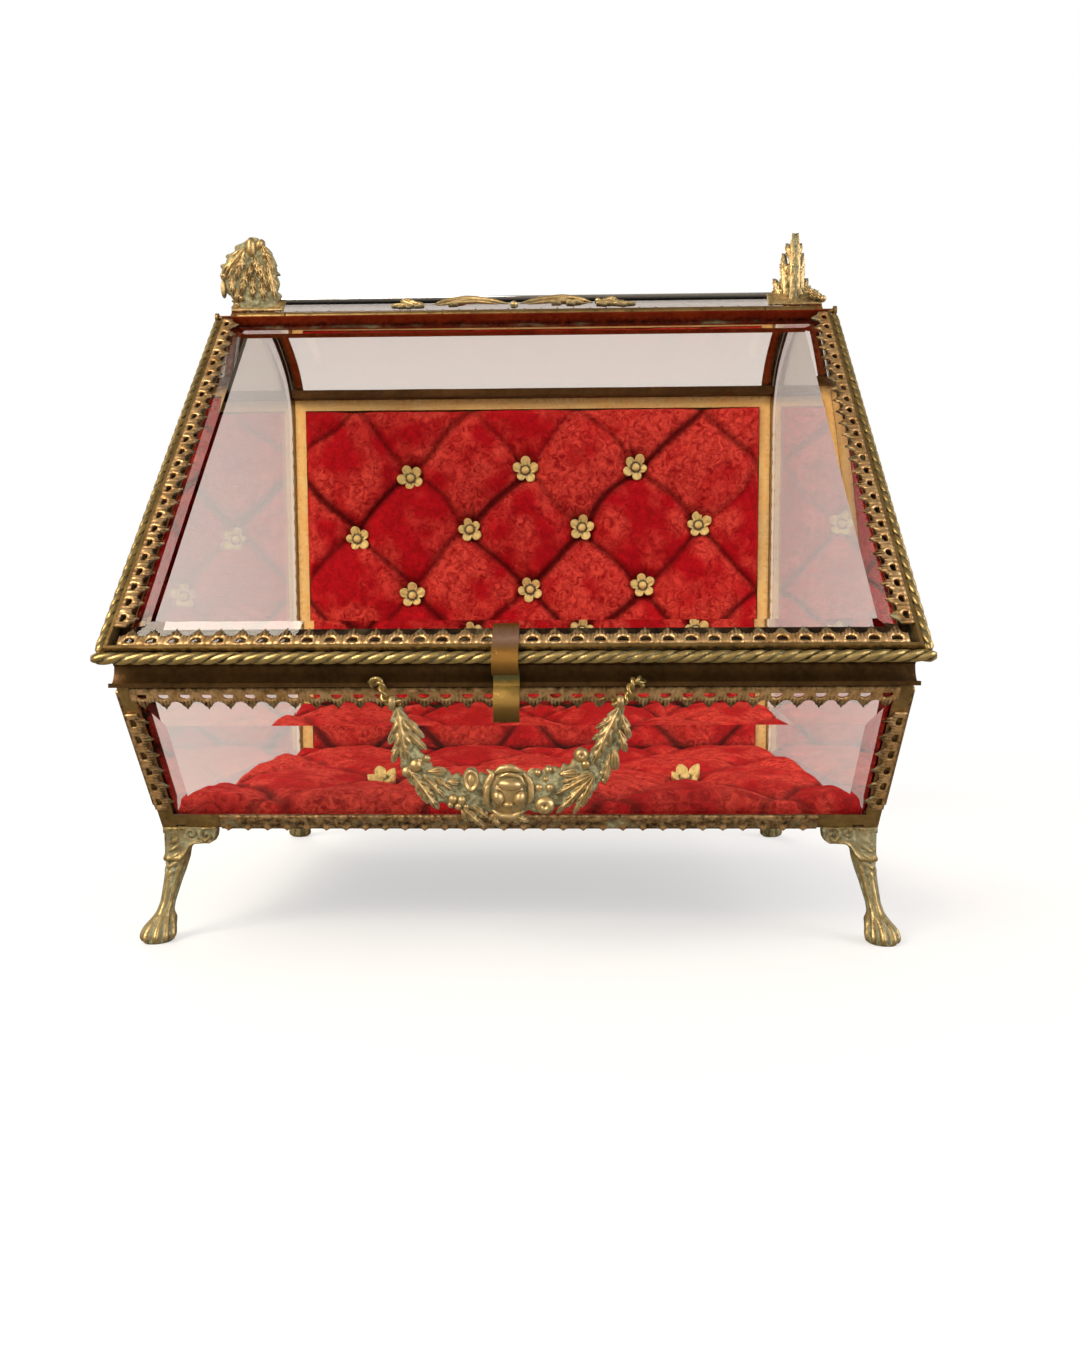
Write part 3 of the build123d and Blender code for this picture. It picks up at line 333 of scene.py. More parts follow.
def old_brass(name, bright, worn, dark, crust, crust_share, rough, ribs=0.0, pits=1.0, cavity=False,
              bands=(), mirror=0.8):
    """Old rolled or cast brass, never lacquered.

    It is bright yellow where hands rub it, brown over the rest, nearly black in the hollows, and a pale
    green-grey crust of salts sits deep in them. Blotches are about 9 mm across, the finer mottling 1.5 mm
    and the pitting 0.4 mm. ribs sets the stamped ribs across the trim, 1.974 times its millimetres apart.
    bands gives painted highlights and shade, with verdigris on the catch, as colours at heights in
    millimetres, as pairs from the lowest up. Tarnish scatters part of the light, so the skin is only as
    metallic as mirror says.
    """
    finish, tree = blank(name)
    place = add(tree, "TexCoord").outputs
    spot = place["Object"]
    blotch, mottle, pit = [
        add(tree, "TexNoise", {"Vector": spot, "Scale": scale, "Detail": detail, "Roughness": mix})
        for scale, detail, mix in ((110.0, 4.0, 0.6), (650.0, 3.0, 0.65), (2600.0, 2.0, 0.5))]
    recess = add(tree, "Attribute", attribute_name="recess").outputs["Fac"]
    if cavity:
        near = add(tree, "AmbientOcclusion", {"Distance": 2.5 * MM}, samples=4).outputs["AO"]
        shut = add(tree, "MapRange", {"Value": near, "From Min": 0.35, "From Max": 0.9, "To Min": 0.8,
                                      "To Max": 0.0})
        recess = add(tree, "Math", {0: recess, 1: shut}, operation="MAXIMUM")
    patch = add(tree, "MapRange", {"Value": blotch, "From Min": 0.36, "From Max": 0.66})
    speck = add(tree, "MapRange", {"Value": mottle, "From Min": 0.3, "From Max": 0.72})
    both = add(tree, "Math", {0: patch, 1: 0.55}, operation="MULTIPLY")
    wear = add(tree, "Math", {0: speck, 1: 0.45, 2: both}, operation="MULTIPLY_ADD")
    skin = add(tree, "Mix", {0: wear, 6: shade(bright), 7: shade(worn)}, data_type="RGBA")
    # painted highlights and shade, and verdigris on the catch, in level stripes up the part
    if bands:
        low, high = bands[0][0], bands[-1][0]
        ragged = 0.6         # the mottling moves a band's edge this far up and down
        rise = add(tree, "SeparateXYZ", {0: spot}).outputs["Z"]
        jagged = add(tree, "Math", {0: mottle, 1: 2 * ragged * MM, 2: rise}, operation="MULTIPLY_ADD")
        up = add(tree, "MapRange", {"Value": jagged, "From Min": (low + ragged) * MM,
                                    "From Max": (high + ragged) * MM})
        ramp = add(tree, "ValToRGB", {0: up})
        for _ in bands[2:]:
            ramp.color_ramp.elements.new(0.5)
        for stop, (at, code) in zip(ramp.color_ramp.elements, bands):
            stop.position, stop.color = (at - low) / (high - low), shade(code)
        skin = add(tree, "Mix", {0: 0.75, 6: skin, 7: ramp}, data_type="RGBA")
    soot = add(tree, "Math", {0: speck, 1: 0.5, 2: recess}, operation="MULTIPLY_ADD")
    grime = add(tree, "MapRange", {"Value": soot, "From Min": 0.42, "From Max": 1.05})
    stained = add(tree, "Mix", {0: grime, 6: skin, 7: shade(dark)}, data_type="RGBA")
    damp = add(tree, "Math", {0: recess, 1: 0.75, 2: blotch}, operation="MULTIPLY_ADD")
    salts = add(tree, "MapRange", {"Value": damp, "From Min": 1.1 - crust_share,
                                   "From Max": 1.32 - crust_share, "To Max": 0.8})
    broken = add(tree, "Math", {0: salts, 1: speck}, operation="MULTIPLY")
    colour = add(tree, "Mix", {0: broken, 6: stained, 7: shade(crust)}, data_type="RGBA")
    metal = add(tree, "MapRange", {"Value": broken, "To Min": mirror, "To Max": 0.25})
    dull = add(tree, "Math", {0: grime, 1: 0.2, 2: rough}, operation="MULTIPLY_ADD")
    matt = add(tree, "Math", {0: broken, 1: 0.35, 2: dull}, operation="MULTIPLY_ADD")
    grain = add(tree, "Math", {0: mottle, 1: 1.6, 2: pit}, operation="MULTIPLY_ADD")
    relief = add(tree, "Bump", {"Height": grain, "Strength": 0.35 * pits, "Distance": 0.12 * MM})
    if ribs:
        # a wave of scale 1 repeats every pi / 10, so the ribs lie 1.974 times the given width apart
        stripe = add(tree, "TexWave", {"Vector": place["UV"], "Scale": 1000 / ribs / 3.1416 / 2})
        relief = add(tree, "Bump", {"Height": stripe.outputs["Fac"], "Strength": 0.7,
                                    "Distance": 0.16 * MM, "Normal": relief})
    brass = add(tree, "BsdfPrincipled", {"Base Color": colour, "Metallic": metal, "Roughness": matt,
                                         "Normal": relief})
    add(tree, "OutputMaterial", {"Surface": brass})
    return finish


def clear_glass(name, tint):
    """Old polished plate glass: clear and faintly warm, with a slow ripple of about 17 mm in its faces.

    Lamps reach through it, so that what lies behind is lit as through a real pane.
    """
    finish, tree = blank(name)
    wave = add(tree, "TexNoise", {"Vector": add(tree, "TexCoord").outputs["Object"], "Scale": 60.0,
                                  "Detail": 1.0})
    ripple = add(tree, "Bump", {"Height": wave, "Strength": 0.04, "Distance": 0.2 * MM})
    pane = add(tree, "BsdfPrincipled", {"Base Color": shade(tint), "Roughness": 0.0, "IOR": 1.5,
                                        "Transmission Weight": 1.0, "Normal": ripple})
    lamp = add(tree, "BsdfTransparent", {"Color": shade(tint)})
    ray = add(tree, "LightPath")
    through = add(tree, "MixShader", {0: ray.outputs["Is Shadow Ray"], 1: pane, 2: lamp})
    add(tree, "OutputMaterial", {"Surface": through})
    return finish


def red_velvet(name):
    """Cotton velvet with a long, crushed pile.

    Pile brushed one way looks bright and orange-red, the other way deep crimson, in patches of about 18 mm.
    The tufts stand in curly clumps 1 to 3 mm apart, and single strands are drawn 0.4 mm apart, coarser than
    life, so that they show. Painted shade darkens the folds, the puckers and a spot above each stud.
    """
    finish, tree = blank(name)
    place = add(tree, "TexCoord").outputs
    spot = place["Object"]
    recess = add(tree, "Attribute", attribute_name="recess").outputs["Fac"]
    brushed = add(tree, "TexNoise", {"Vector": spot, "Scale": 55.0, "Detail": 3.0, "Distortion": 0.8})
    clump = add(tree, "TexNoise", {"Vector": spot, "Scale": 330.0, "Detail": 5.0, "Roughness": 0.72,
                                   "Distortion": 1.2})
    strand = add(tree, "TexNoise", {"Vector": spot, "Scale": 2400.0, "Detail": 2.0})
    nap_lay = add(tree, "SeparateXYZ", {0: place["UV"]}).outputs["X"]
    swept = add(tree, "Math", {0: brushed, 1: 0.8, 2: nap_lay}, operation="MULTIPLY_ADD")
    lay = add(tree, "MapRange", {"Value": swept, "From Min": 0.66, "From Max": 1.02})
    pile = add(tree, "Mix", {0: lay, 6: shade("#CE1422"), 7: shade("#F45448")}, data_type="RGBA")
    tip = add(tree, "MapRange", {"Value": clump, "From Min": 0.36, "From Max": 0.6})
    lit = add(tree, "Mix", {0: tip, 6: shade("#9E0C18"), 7: pile}, data_type="RGBA")
    # painted shade: dark crimson in the folds, the puckers and just above each stud
    shut = add(tree, "MapRange", {"Value": recess, "From Min": 0.12, "From Max": 0.8, "To Max": 0.88})
    colour = add(tree, "Mix", {0: shut, 6: lit, 7: shade("#480409")}, data_type="RGBA")
    height = add(tree, "Math", {0: clump, 1: 2.2, 2: strand}, operation="MULTIPLY_ADD")
    nap = add(tree, "Bump", {"Height": height, "Strength": 0.9, "Distance": 0.8 * MM})
    cloth = add(tree, "BsdfPrincipled", {
        "Base Color": colour, "Roughness": 0.92, "Specular IOR Level": 0.1, "Sheen Weight": 0.3,
        "Sheen Roughness": 0.45, "Sheen Tint": shade("#F03A30"), "Normal": nap})
    add(tree, "OutputMaterial", {"Surface": cloth})
    return finish


def grey_card(name):
    """Plain lining card: pulp board with a faint mottle of about 1 mm and a dull, fibrous face."""
    finish, tree = blank(name)
    pulp = add(tree, "TexNoise", {"Vector": add(tree, "TexCoord").outputs["Object"], "Scale": 900.0,
                                  "Detail": 4.0})
    colour = add(tree, "Mix", {0: pulp, 6: shade("#5E4A38"), 7: shade("#7A6650")}, data_type="RGBA")
    fibre = add(tree, "Bump", {"Height": pulp, "Strength": 0.3, "Distance": 0.1 * MM})
    card = add(tree, "BsdfPrincipled", {"Base Color": colour, "Roughness": 0.9, "Normal": fibre})
    add(tree, "OutputMaterial", {"Surface": card})
    return finish


# Frame bars: dull yellow with brown patches, and dark along their corners
frame_brass = old_brass("rolled_brass_frame", "#B8965C", "#745A32", "#20160B", "#A9AC86", 0.04, 0.36,
                        cavity=True)
# Cove and top rail: dark brown, so that the bright trim stands out before them
cove_brass = old_brass("brown_brass_cove", "#6A4C28", "#422E16", "#1A1108", "#98906C", 0.0, 0.36, cavity=True)
# Edges beside the glass: reddish brown, a painted reflection of the velvet
velvet_reflection_brass = old_brass("brass_edge_painted_velvet_reflection", "#AE7240", "#7C4620", "#34180A", "#A9AC86", 0.0, 0.36,
                        cavity=True)
# Top rail of the lid: red, a painted reflection of the velvet seen through the glass
rail_velvet_reflection_brass = old_brass("brass_rail_painted_velvet_reflection", "#C04A20", "#8A2410", "#3A1006", "#A9AC86", 0.0, 0.3,
                       cavity=True)
# Trim: pale ribs over black hollows
trim_brass = old_brass("stamped_brass_trim", "#FCD298", "#C69252", "#302010", "#C4C49E", 0.12, 0.38,
                       ribs=0.86)
# Rope and wires: yellow crests, brown grooves
rope_brass = old_brass("twisted_brass_rope", "#D8BC7C", "#947A44", "#2A1E0E", "#BCBE98", 0.1, 0.34)
# Feet, then leaves and garland: pitted casts, pale with grey-green salts, the leaves a little brighter
cast_brass = old_brass("cast_brass", "#DEC48A", "#A0844E", "#342813", "#C2C09A", 0.3, 0.4, pits=1.4)
leaf_brass = old_brass("cast_brass_leaf", "#EACC94", "#AC8C54", "#44371D", "#C8C49A", 0.3, 0.4, pits=1.4)
# Strap and catch: painted highlights in pink and gold, painted shade near black at the strap's foot and dark
# at the catch's foot, and verdigris at the catch's top
STRAP_SHEEN_AND_SHADE = ((75.5, "#2C1E0E"), (78.0, "#A87834"), (81.5, "#B88442"), (84.0, "#D8AE9C"), (87.5, "#865226"),
         (95.0, "#74481F"))
CATCH_SHEEN_SHADE_AND_VERDIGRIS = ((63.5, "#4A3E20"), (67.0, "#8A6A34"), (71.5, "#EEC26C"), (73.4, "#D0AC58"), (74.2, "#6F8A66"),
         (77.0, "#4A4A2C"))
strap_brass = old_brass("sprung_brass_strap_painted_sheen_and_shade", "#BE8E46", "#7C5426", "#2A1A0A", "#7E9A80", 0.0, 0.3,
                        cavity=True, bands=STRAP_SHEEN_AND_SHADE)
catch_brass = old_brass("verdigris_brass_catch_painted_sheen_and_shade", "#BE8E46", "#7C5426", "#2A1A0A", "#7E9A80", 0.1, 0.32,
                        cavity=True, bands=CATCH_SHEEN_SHADE_AND_VERDIGRIS)
# Gilding behind glass: bright, warm and hardly worn. The petals are paler, and grey in their hollows
gilt = old_brass("gilt_brass", "#FFEAA6", "#FFD078", "#B8803A", "#C9C08C", -0.1, 0.3, cavity=True, pits=1.5,
                 mirror=0.3)
petal_gilt = old_brass("pale_gilt_petals", "#F8E8A2", "#DEC878", "#4A3A20", "#9A9A8C", 0.1, 0.32, pits=1.2,
                       mirror=0.25)
glass = clear_glass("polished_plate_glass", "#F7F1EC")
velvet = red_velvet("crushed_velvet")
card = grey_card("lining_card")

# the edges beside the glass and the lid's top rail carry a painted reflection of the velvet
NODE_FINISH = {"rim_moulding": cove_brass, "ridge_bar": velvet_reflection_brass, "arch_rail_left": velvet_reflection_brass,
               "arch_rail_right": velvet_reflection_brass, "back_top_rail": cove_brass, "lid_rail_top": rail_velvet_reflection_brass,
               "latch_strap": strap_brass, "latch_catch": catch_brass, "back_border": gilt,
               "back_board": card, "floor_board": card}
SLOT_FINISH = {"aged_brass": frame_brass, "stamped_brass": trim_brass, "cast_brass": cast_brass,
               "gilt_brass": gilt, "clear_glass": glass, "red_velvet": velvet, "lining_card": card}
slot_of = {entry["node"]: entry["material_slot"] for entry in frame["record"]["subparts"]}
for name, node in frame["nodes"].items():
    node.data.materials.clear()
    node.data.materials.append(NODE_FINISH.get(name, SLOT_FINISH[slot_of[name]]))


# Pierced trim


def trim_strip(length, plain=False, edge=0.0):
    """A strip of stamped trim along X with its plain edge at y = 0 and its teeth up Y.

    Twelve columns make one pitch. Five rows of points run along the plain edge, the foot of the windows,
    their arched top, the shoulder of the band and the teeth. An arch is 0.8 + 1.75 times the root of
    1 - (u / 1.85)^2, where u is the distance from the nearest window's middle, and a tooth narrows from its
    shoulders to a point over each window. A plain strip has no windows, and its teeth are low hooks. edge
    carries the plain edge on below y = 0.
    """
    count = int(length / PITCH)
    column = np.arange(12 * count + 1)
    x = (column - 6 * count) * PITCH / 12
    u = PITCH / 2 - np.abs((column + 6) % 12 - 6) * PITCH / 12
    if plain:
        hook = np.exp(-((PITCH / 2 - np.abs((column + 4) % 12 - 6) * PITCH / 12) / 0.55) ** 2)
        rows = (0, 1.4, 2.8, 4.0, 4.75 + 0.4 * hook)
        lip = (0.1, 0.12, 0.05, 0.1 + 0.6 * hook, 0.02 + 0.5 * hook)
    else:
        arch = 0.8 + 1.75 * np.sqrt(np.clip(1 - (u / 1.85) ** 2, 0.04, 1))
        tooth = np.interp(u, [0.0, 0.3, 0.95, 1.5, 2.1, PITCH / 2], [TRIM, 4.95, 4.55, 3.6, 3.25, 3.15])
        rib = 0.1 * np.cos(np.pi * column)
        rows = (0, 0.75, arch, np.minimum(3.2, tooth - 0.1), tooth)
        lip = (0.15, 0.32, 0.32 + 0.4 * rib, 0.16 + rib, 0.02 + 0.5 * rib)
    rows, lip = [np.stack([row + 0 * u for row in grid], 1) for grid in (rows, lip)]
    rows[:, 0] -= edge
    front = np.stack([np.broadcast_to(x[:, None], rows.shape), rows, STAMPED + lip], -1)
    keep = np.ones((12 * count, 4), bool)
    keep[:, 1] = plain | ((u[:-1] + u[1:]) / 2 > 1.6)
    recess = np.clip(0.75 - 1.9 * lip, 0, 1)
    recess[:, 0] = 0.55
    return shell(front, front * [1, 1, 0], recess, None, keep)


def trim(name, strips, node, body="casket"):
    """Stamped trim in one piece: each strip has its length, the middle of its plain edge, the direction that
    it runs in, the direction of its teeth and what trim_strip may be told besides."""
    parts = [placed(trim_strip(length, *more), middle, along, teeth, np.cross(along, teeth))
             for length, middle, along, teeth, *more in strips]
    piece(name, parts, body, trim_brass, (node,))


def on_lid(x, s, w):
    """Point x across, s up the lid's slope and w above its seat."""
    return LID_FOOT + x * ACROSS + s * LID_UP + w * LID_OUT


def on_front(x, s):
    """Point x across and s up the front glass line."""
    return BASE + x * ACROSS + s * POST_UP


lid_low, lid_high, lid_face = -0.8, 144.7, 4.1
inner = HALF - SHEET
lid_middle = (lid_low + TRIM + lid_high) / 2
lid_side = lid_high - lid_low - TRIM
trim("trim_lid", ((2 * inner, on_lid(0, lid_low, lid_face), ACROSS, LID_UP),
                  (lid_side, on_lid(inner, lid_middle, lid_face), LID_UP, -ACROSS),
                  (lid_side, on_lid(-inner, lid_middle, lid_face), -LID_UP, ACROSS)), "gallery_lid", "lid")
trim("trim_ridge", ((2 * HALF - GAP, on_lid(0, RIDGE, 0.0), ACROSS, LID_UP),), "gallery_ridge")
drop = 1.0                   # the rim's strip hangs this much lower, so that its windows clear the cove
trim("trim_rim", ((2 * (HALF - 1.0), on_front(0, POST - drop), -ACROSS, -POST_UP, False, drop),),
     "gallery_rim")
hem_length = 168.8           # between the ears of the front feet
trim("trim_base", ((hem_length, on_front(0, HEM), -ACROSS, -POST_UP, True),), "gallery_base")
post_length = POST - TRIM - HEM - GAP
post_middle = (POST - TRIM + HEM) / 2
for side, label in SIDES:
    trim("trim_post_" + label, ((post_length, on_front(side * HALF, post_middle), side * POST_UP,
                                 -side * ACROSS),), "gallery_post_" + label)
wall_low = LEG + TRIM + GAP
front_low = TRIM / POST_UP[2] + GAP
front_length = POST - front_low - GAP
for side, label in SIDES:
    wall = side * HALF
    trim("trim_side_" + label, (
        (BACK_FACE - BASE_FRONT - GAP, (wall, (BASE_FRONT + BACK_FACE) / 2, LEG), side * BACK, UP),
        (BEND_FOOT - wall_low, (wall, BACK_FACE, (wall_low + BEND_FOOT) / 2), side * UP, -BACK),
        (front_length, on_front(wall, front_low + front_length / 2), -side * POST_UP, -POST_OUT)),
         "gallery_side_" + label)
bend_reach = BEND_RADIUS - 0.9      # the back's strip lies just inside the bend's outer line
glass_end = 14.2             # lower edge of the bent glass above the foot of the bend
back_lean = np.arcsin((glass_end - 1.4) / bend_reach)
back_out = np.array([0, np.cos(back_lean), np.sin(back_lean)])
back_up = np.array([0, -np.sin(back_lean), np.cos(back_lean)])
back_middle = np.array([0, BACK_FACE - BEND_RADIUS, BEND_FOOT]) + bend_reach * back_out - TRIM / 2 * back_up
trim("trim_back", ((2 * (HALF - 4) - GAP, back_middle, -ACROSS, back_up),), "gallery_back")


# Rope moulding


def rope(start, end, turn=1.0, strand=4.3):
    """Twisted rope: a section with three round lobes that turns once in three strands' pitch.

    The radius is the rope's radius times 0.72 + 0.28 |cos(1.5 phi)|^0.8, and phi is the angle round the rope
    less the turn made so far, so each groove leans across the rope. The ends are rounded over 1.2.
    """
    length = np.linalg.norm(end - start)
    t = np.linspace(0, 1, int(length / 0.42) + 1)[:, None]
    angle = circle(36)
    lobe = np.abs(np.cos(1.5 * (angle - turn * 2 * np.pi * t * length / (3 * strand)))) ** 0.8
    reach = ROPE * (0.72 + 0.28 * lobe) * np.minimum(1, 0.55 + 0.45 * np.minimum(t, 1 - t) * length / 1.2)
    ring = np.stack([reach * np.cos(angle), reach * np.sin(angle)], -1)
    return tube(start + t * (end - start), ring, LID_OUT, np.clip(1.05 - 1.3 * lobe, 0, 1))


rope_low, rope_high, rope_out = -1.6, 145.5, HALF + ROPE
piece("rope_front", [rope(on_lid(-rope_out - ROPE, rope_low - ROPE, LID_BODY),
                          on_lid(rope_out + ROPE, rope_low - ROPE, LID_BODY))],
      "lid", rope_brass, ("rope_bottom",))
for side, label in SIDES:
    piece("rope_" + label, [rope(on_lid(side * rope_out, rope_low, LID_BODY),
                                 on_lid(side * rope_out, rope_high, LID_BODY), side)],
          "lid", rope_brass, ("rope_side_" + label,))


# Arch lining and lid pane


def arch_path(inset, count=14):
    """Points (y, z) from the ridge to the top rail, inset below the bent top's outer line: three arcs."""
    line = []
    for (y, z), radius, start, end in BEND:
        angle = np.radians(np.linspace(start, end, count))
        line.append(np.stack([y + (radius - inset) * np.cos(angle) + RIM_FRONT,
                              z + (radius - inset) * np.sin(angle)], -1))
    return np.concatenate([line[0], line[1][1:], line[2][1:]])


# strips 4 mm wide and 0.7 mm thick under the arch rails, reddish brown with a painted reflection of the
# velvet
for side, label in SIDES:
    faces = [np.stack([side * x * ACROSS + arch_path(inset) @ (BACK, UP) for x in (95.7, 93.7, 91.7)], 1)
             for inset in (3.45, 4.15)]
    piece("arch_lining_" + label, [shell(*faces)], "casket", velvet_reflection_brass)


def pane(half_width, low, high, base, thick, land, bevel):
    """Bevelled pane on the lid's slope: its edge is land thick, and bevels of one width rise to its face."""
    loops = [[on_lid(x * (half_width - inset), s, w)
              for x, s in ((-1, low + inset), (1, low + inset), (1, high - inset), (-1, high - inset))]
             for inset, w in ((0, base), (0, base + land), (bevel, base + thick))]
    quads = np.concatenate([weave(3, 4, join_columns=True), [(3, 2, 1, 0), (8, 9, 10, 11)]])
    return np.reshape(loops, (-1, 3)), quads, np.zeros(12), np.zeros((12, 2))


piece("pane_lid", [pane(half_width=99.1, low=-0.7, high=144.6, base=1.1, thick=3.0, land=0.45, bevel=8.5)],
      "lid", glass, ("lid_glass",), smooth=False)


# Cast ornament: drawn flat in its own plane, on a ground at z = 0

SUNK = -0.6                  # depth of a leaf or berry's flat back
RAISED = 0.3                 # height of its root above the ground


def spray(start, end, width, lobes=3, lift=1.3, notch=0.42):
    """A leaf from its stalk to its tip."""
    reach = np.subtract(end, start)
    turn = np.degrees(np.arctan2(-reach[0], reach[1]))
    return turned(leaf(np.hypot(*reach), width, lobes, lift, notch, SUNK), turn, *start, RAISED)


def berry(x, y, radius, height=None, dimple=0.0, rim=0.0, stretch=1.0, turn=0.0, z=RAISED):
    """A fruit, bud or petal: a knob that is stretch times as long as it is wide, turned by turn degrees."""
    height = radius if height is None else height
    return turned(knob(2 * radius, 2 * radius * stretch, height, dimple, SUNK, rim), turn, x, y, z)


def scroll(points, radius, z=RAISED, lift=1.0, count=26):
    """Rolled petal or stem: a smooth path through points, thick in its middle and drawn out at both ends.

    The radius is radius times sin(pi t)^0.55, and the section is lift times as high as it is wide.
    """
    run, path = spaced(points, count, 2)
    path = np.column_stack([eased(path, 4), np.full(count, z)])
    angle = circle(12)
    size = radius * np.maximum(np.sin(np.pi * run / run[-1]), 0.02)[:, None] ** 0.55
    ring = np.stack([size * np.cos(angle), lift * size * np.sin(angle)], -1)
    recess = np.clip(0.75 - np.abs(ring[..., 1]) / radius / lift, 0, 1)
    return tube(path, ring, UP, recess)


def backing(path, thick, front=0.9, seed=3):
    """Backing plate along a path of (x, y, half width), rough and full of salts.

    Its front rises to front times the root of 1 - s^2, where s runs from -1 to 1 across it.
    """
    run, line = spaced(path, 150, 2)
    line = eased(line, 12)
    along = unit(np.gradient(line[:, :2], axis=0))
    s = np.linspace(-1, 1, 17)
    offset = line[:, None, 2] * s * (1 + 0.1 * np.sin(run[:, None] * 1.9) * np.abs(s) ** 3)
    x = line[:, None, 0] - along[:, None, 1] * offset
    y = line[:, None, 1] + along[:, None, 0] * offset
    dome = np.sqrt(np.clip(1 - s ** 2, 0, 1))[None] * np.ones_like(x)
    z = front * dome + 0.16 * cloud(x, y, 0.9, seed)
    return shell(np.stack([x, y, z], -1), np.stack([x, y, np.full_like(x, -thick)], -1), 0.55 + 0.4 * dome)


# Garland handle: its ground, its leaves, its fruit, and a rose in its middle

swag_line = [
    (-26.9, -1.0, 1.0), (-26.2, -5, 1.7), (-24.8, -10, 2.6), (-23.6, -13.5, 3.0), (-22.2, -16.8, 3.3),
    (-19.0, -19.6, 3.9), (-14.5, -21.5, 3.9), (-9, -22.4, 4.6), (-4, -22.6, 5.2), (0.7, -22.2, 5.6),
    (6, -22, 5.0), (11, -21.6, 4.9), (16, -20.0, 4.9), (20.5, -17.0, 4.2), (24, -13.2, 3.0),
    (26, -9.5, 2.4), (27.2, -5, 1.8), (28.0, -1.0, 1.1)]
swag = [backing(swag_line, 1.1)]
swag += [spray(*leaf_of) for leaf_of in (
    ((-26.7, -0.8), (-24.6, -14.8), 6.2, 4, 1.7), ((-26.7, -4.6), (-28.9, -10.2), 2.2, 1, 1.0),
    ((-26.2, -9.0), (-28.2, -14.8), 2.5, 2, 1.1), ((-25.3, -3.2), (-20.3, -8.6), 2.4, 2, 1.1),
    ((-24.8, -6.6), (-19.7, -11.6), 2.6, 2, 1.1), ((-19.6, -16.9), (-14.7, -16.8), 2.3, 1, 1.2, 0.1),
    ((-23.6, -16.8), (-16.9, -26.3), 4.4, 4, 1.7), ((-23.0, -17.6), (-19.9, -24.6), 2.5, 2, 1.2),
    ((-20.6, -17.4), (-15.2, -23.6), 2.5, 2, 1.5), ((-18.2, -18.0), (-13.2, -21.6), 2.2, 2, 1.3),
    ((-14.8, -19.4), (-11.4, -19.6), 1.9, 1, 1.1, 0.1), ((-10.8, -26.0), (-5.7, -30.6), 2.6, 2, 1.3),
    ((-11.4, -26.0), (-9.7, -29.2), 1.8, 1, 1.0), ((-8.6, -25.2), (-4.4, -28.6), 2.2, 2, 1.2),
    ((-3.4, -27.4), (-1.8, -30.8), 2.2, 2, 1.1), ((-2.6, -27.0), (-4.4, -29.2), 1.4, 1, 0.9),
    ((1.6, -27.8), (5.6, -29.4), 2.4, 2, 1.2), ((1.2, -28.0), (3.0, -30.2), 1.6, 1, 1.0),
    ((12.8, -17.6), (18.4, -17.2), 2.6, 1, 1.3, 0.1), ((21.6, -17.4), (12.0, -22.6), 3.0, 4, 1.5),
    ((21.6, -17.6), (12.3, -27.4), 3.2, 4, 1.7), ((21.7, -17.8), (16.5, -27.6), 3.0, 4, 1.6),
    ((21.6, -18.0), (18.8, -25.6), 2.6, 3, 1.3), ((21.4, -17.2), (13.0, -19.8), 2.4, 3, 1.2),
    ((27.9, -0.8), (21.0, -15.4), 5.0, 5, 1.8), ((27.4, -3.0), (22.0, -6.4), 2.2, 2, 1.1),
    ((26.4, -5.6), (21.1, -9.2), 2.3, 2, 1.1), ((28.2, -2.6), (30.4, -8.8), 2.6, 2, 1.2),
    ((27.6, -6.4), (29.4, -12.2), 2.8, 2, 1.3), ((26.6, -10.6), (26.8, -16.8), 2.3, 1, 1.3, 0.1),
    ((25.6, -12.0), (24.2, -20.0), 2.6, 3, 0.9))]
swag += [berry(*fruit) for fruit in (
    (-22.4, -15.4, 1.7, 1.5), (-24.6, -17.0, 1.4, 1.1), (-19.6, -13.7, 0.85), (-21.4, -14.4, 0.8),
    (-13.3, -23.8, 1.25, 1.6), (-11.1, -24.0, 1.15, 1.6), (-12.0, -25.6, 0.95, 1.3),
    (-10.0, -25.7, 0.85, 1.2), (-13.9, -25.3, 0.8, 1.0), (-6.2, -28.0, 0.7), (-5.1, -27.4, 0.6),
    (7.7, -17.2, 0.95, 1.3), (10.4, -16.5, 1.05, 1.4), (9.6, -18.8, 0.8, 1.1), (8.0, -20.9, 1.1, 1.5),
    (10.7, -20.9, 1.05, 1.4), (18.5, -12.9, 1.9, 1.9, 0.7), (19.5, -15.2, 1.3, 1.4), (23.5, -14.2, 0.6),
    (24.0, -15.8, 0.55), (23.5, -17.4, 0.65), (24.8, -18.1, 0.6), (24.0, -19.2, 0.6), (22.6, -16.0, 0.5),
    (-8.7, -19.2, 2.2, 0.9, 0.0, 1.0, 1.5), (-8.7, -19.2, 1.2, 1.0, 0.0, 0.0, 1.7, 0.0, 0.5),
    (9.4, -25.3, 2.7, 2.2, 1.1, 0.0, 0.88))]
swag.append(scroll([(-4.9, -16.4), (-3.4, -17.6), (-4.4, -19.4), (-5.4, -21.4), (-4.8, -22.8)], 1.0, 0.8))
swag.append(berry(0.6, -22.0, 5.7, 0.9, 0.0, 0.0, 1.1))
swag += [scroll(curl, size, z) for curl, size, z in (
    ([(-3.2, -17.6), (-1.4, -16.2), (1.4, -15.9), (4.0, -17.0)], 0.95, 1.2),
    ([(4.2, -17.2), (6.0, -19.6), (6.2, -23.2), (5.0, -25.6)], 0.8, 1.1),
    ([(-3.8, -18.6), (-4.9, -21.4), (-4.9, -24.2), (-3.8, -26.4)], 0.85, 1.1),
    ([(-3.6, -26.4), (-1.4, -28.0), (1.6, -28.2), (4.4, -26.6)], 1.0, 1.1),
    ([(-2.2, -18.4), (0.4, -17.4), (3.4, -18.2), (4.8, -20.8)], 0.6, 1.3))]
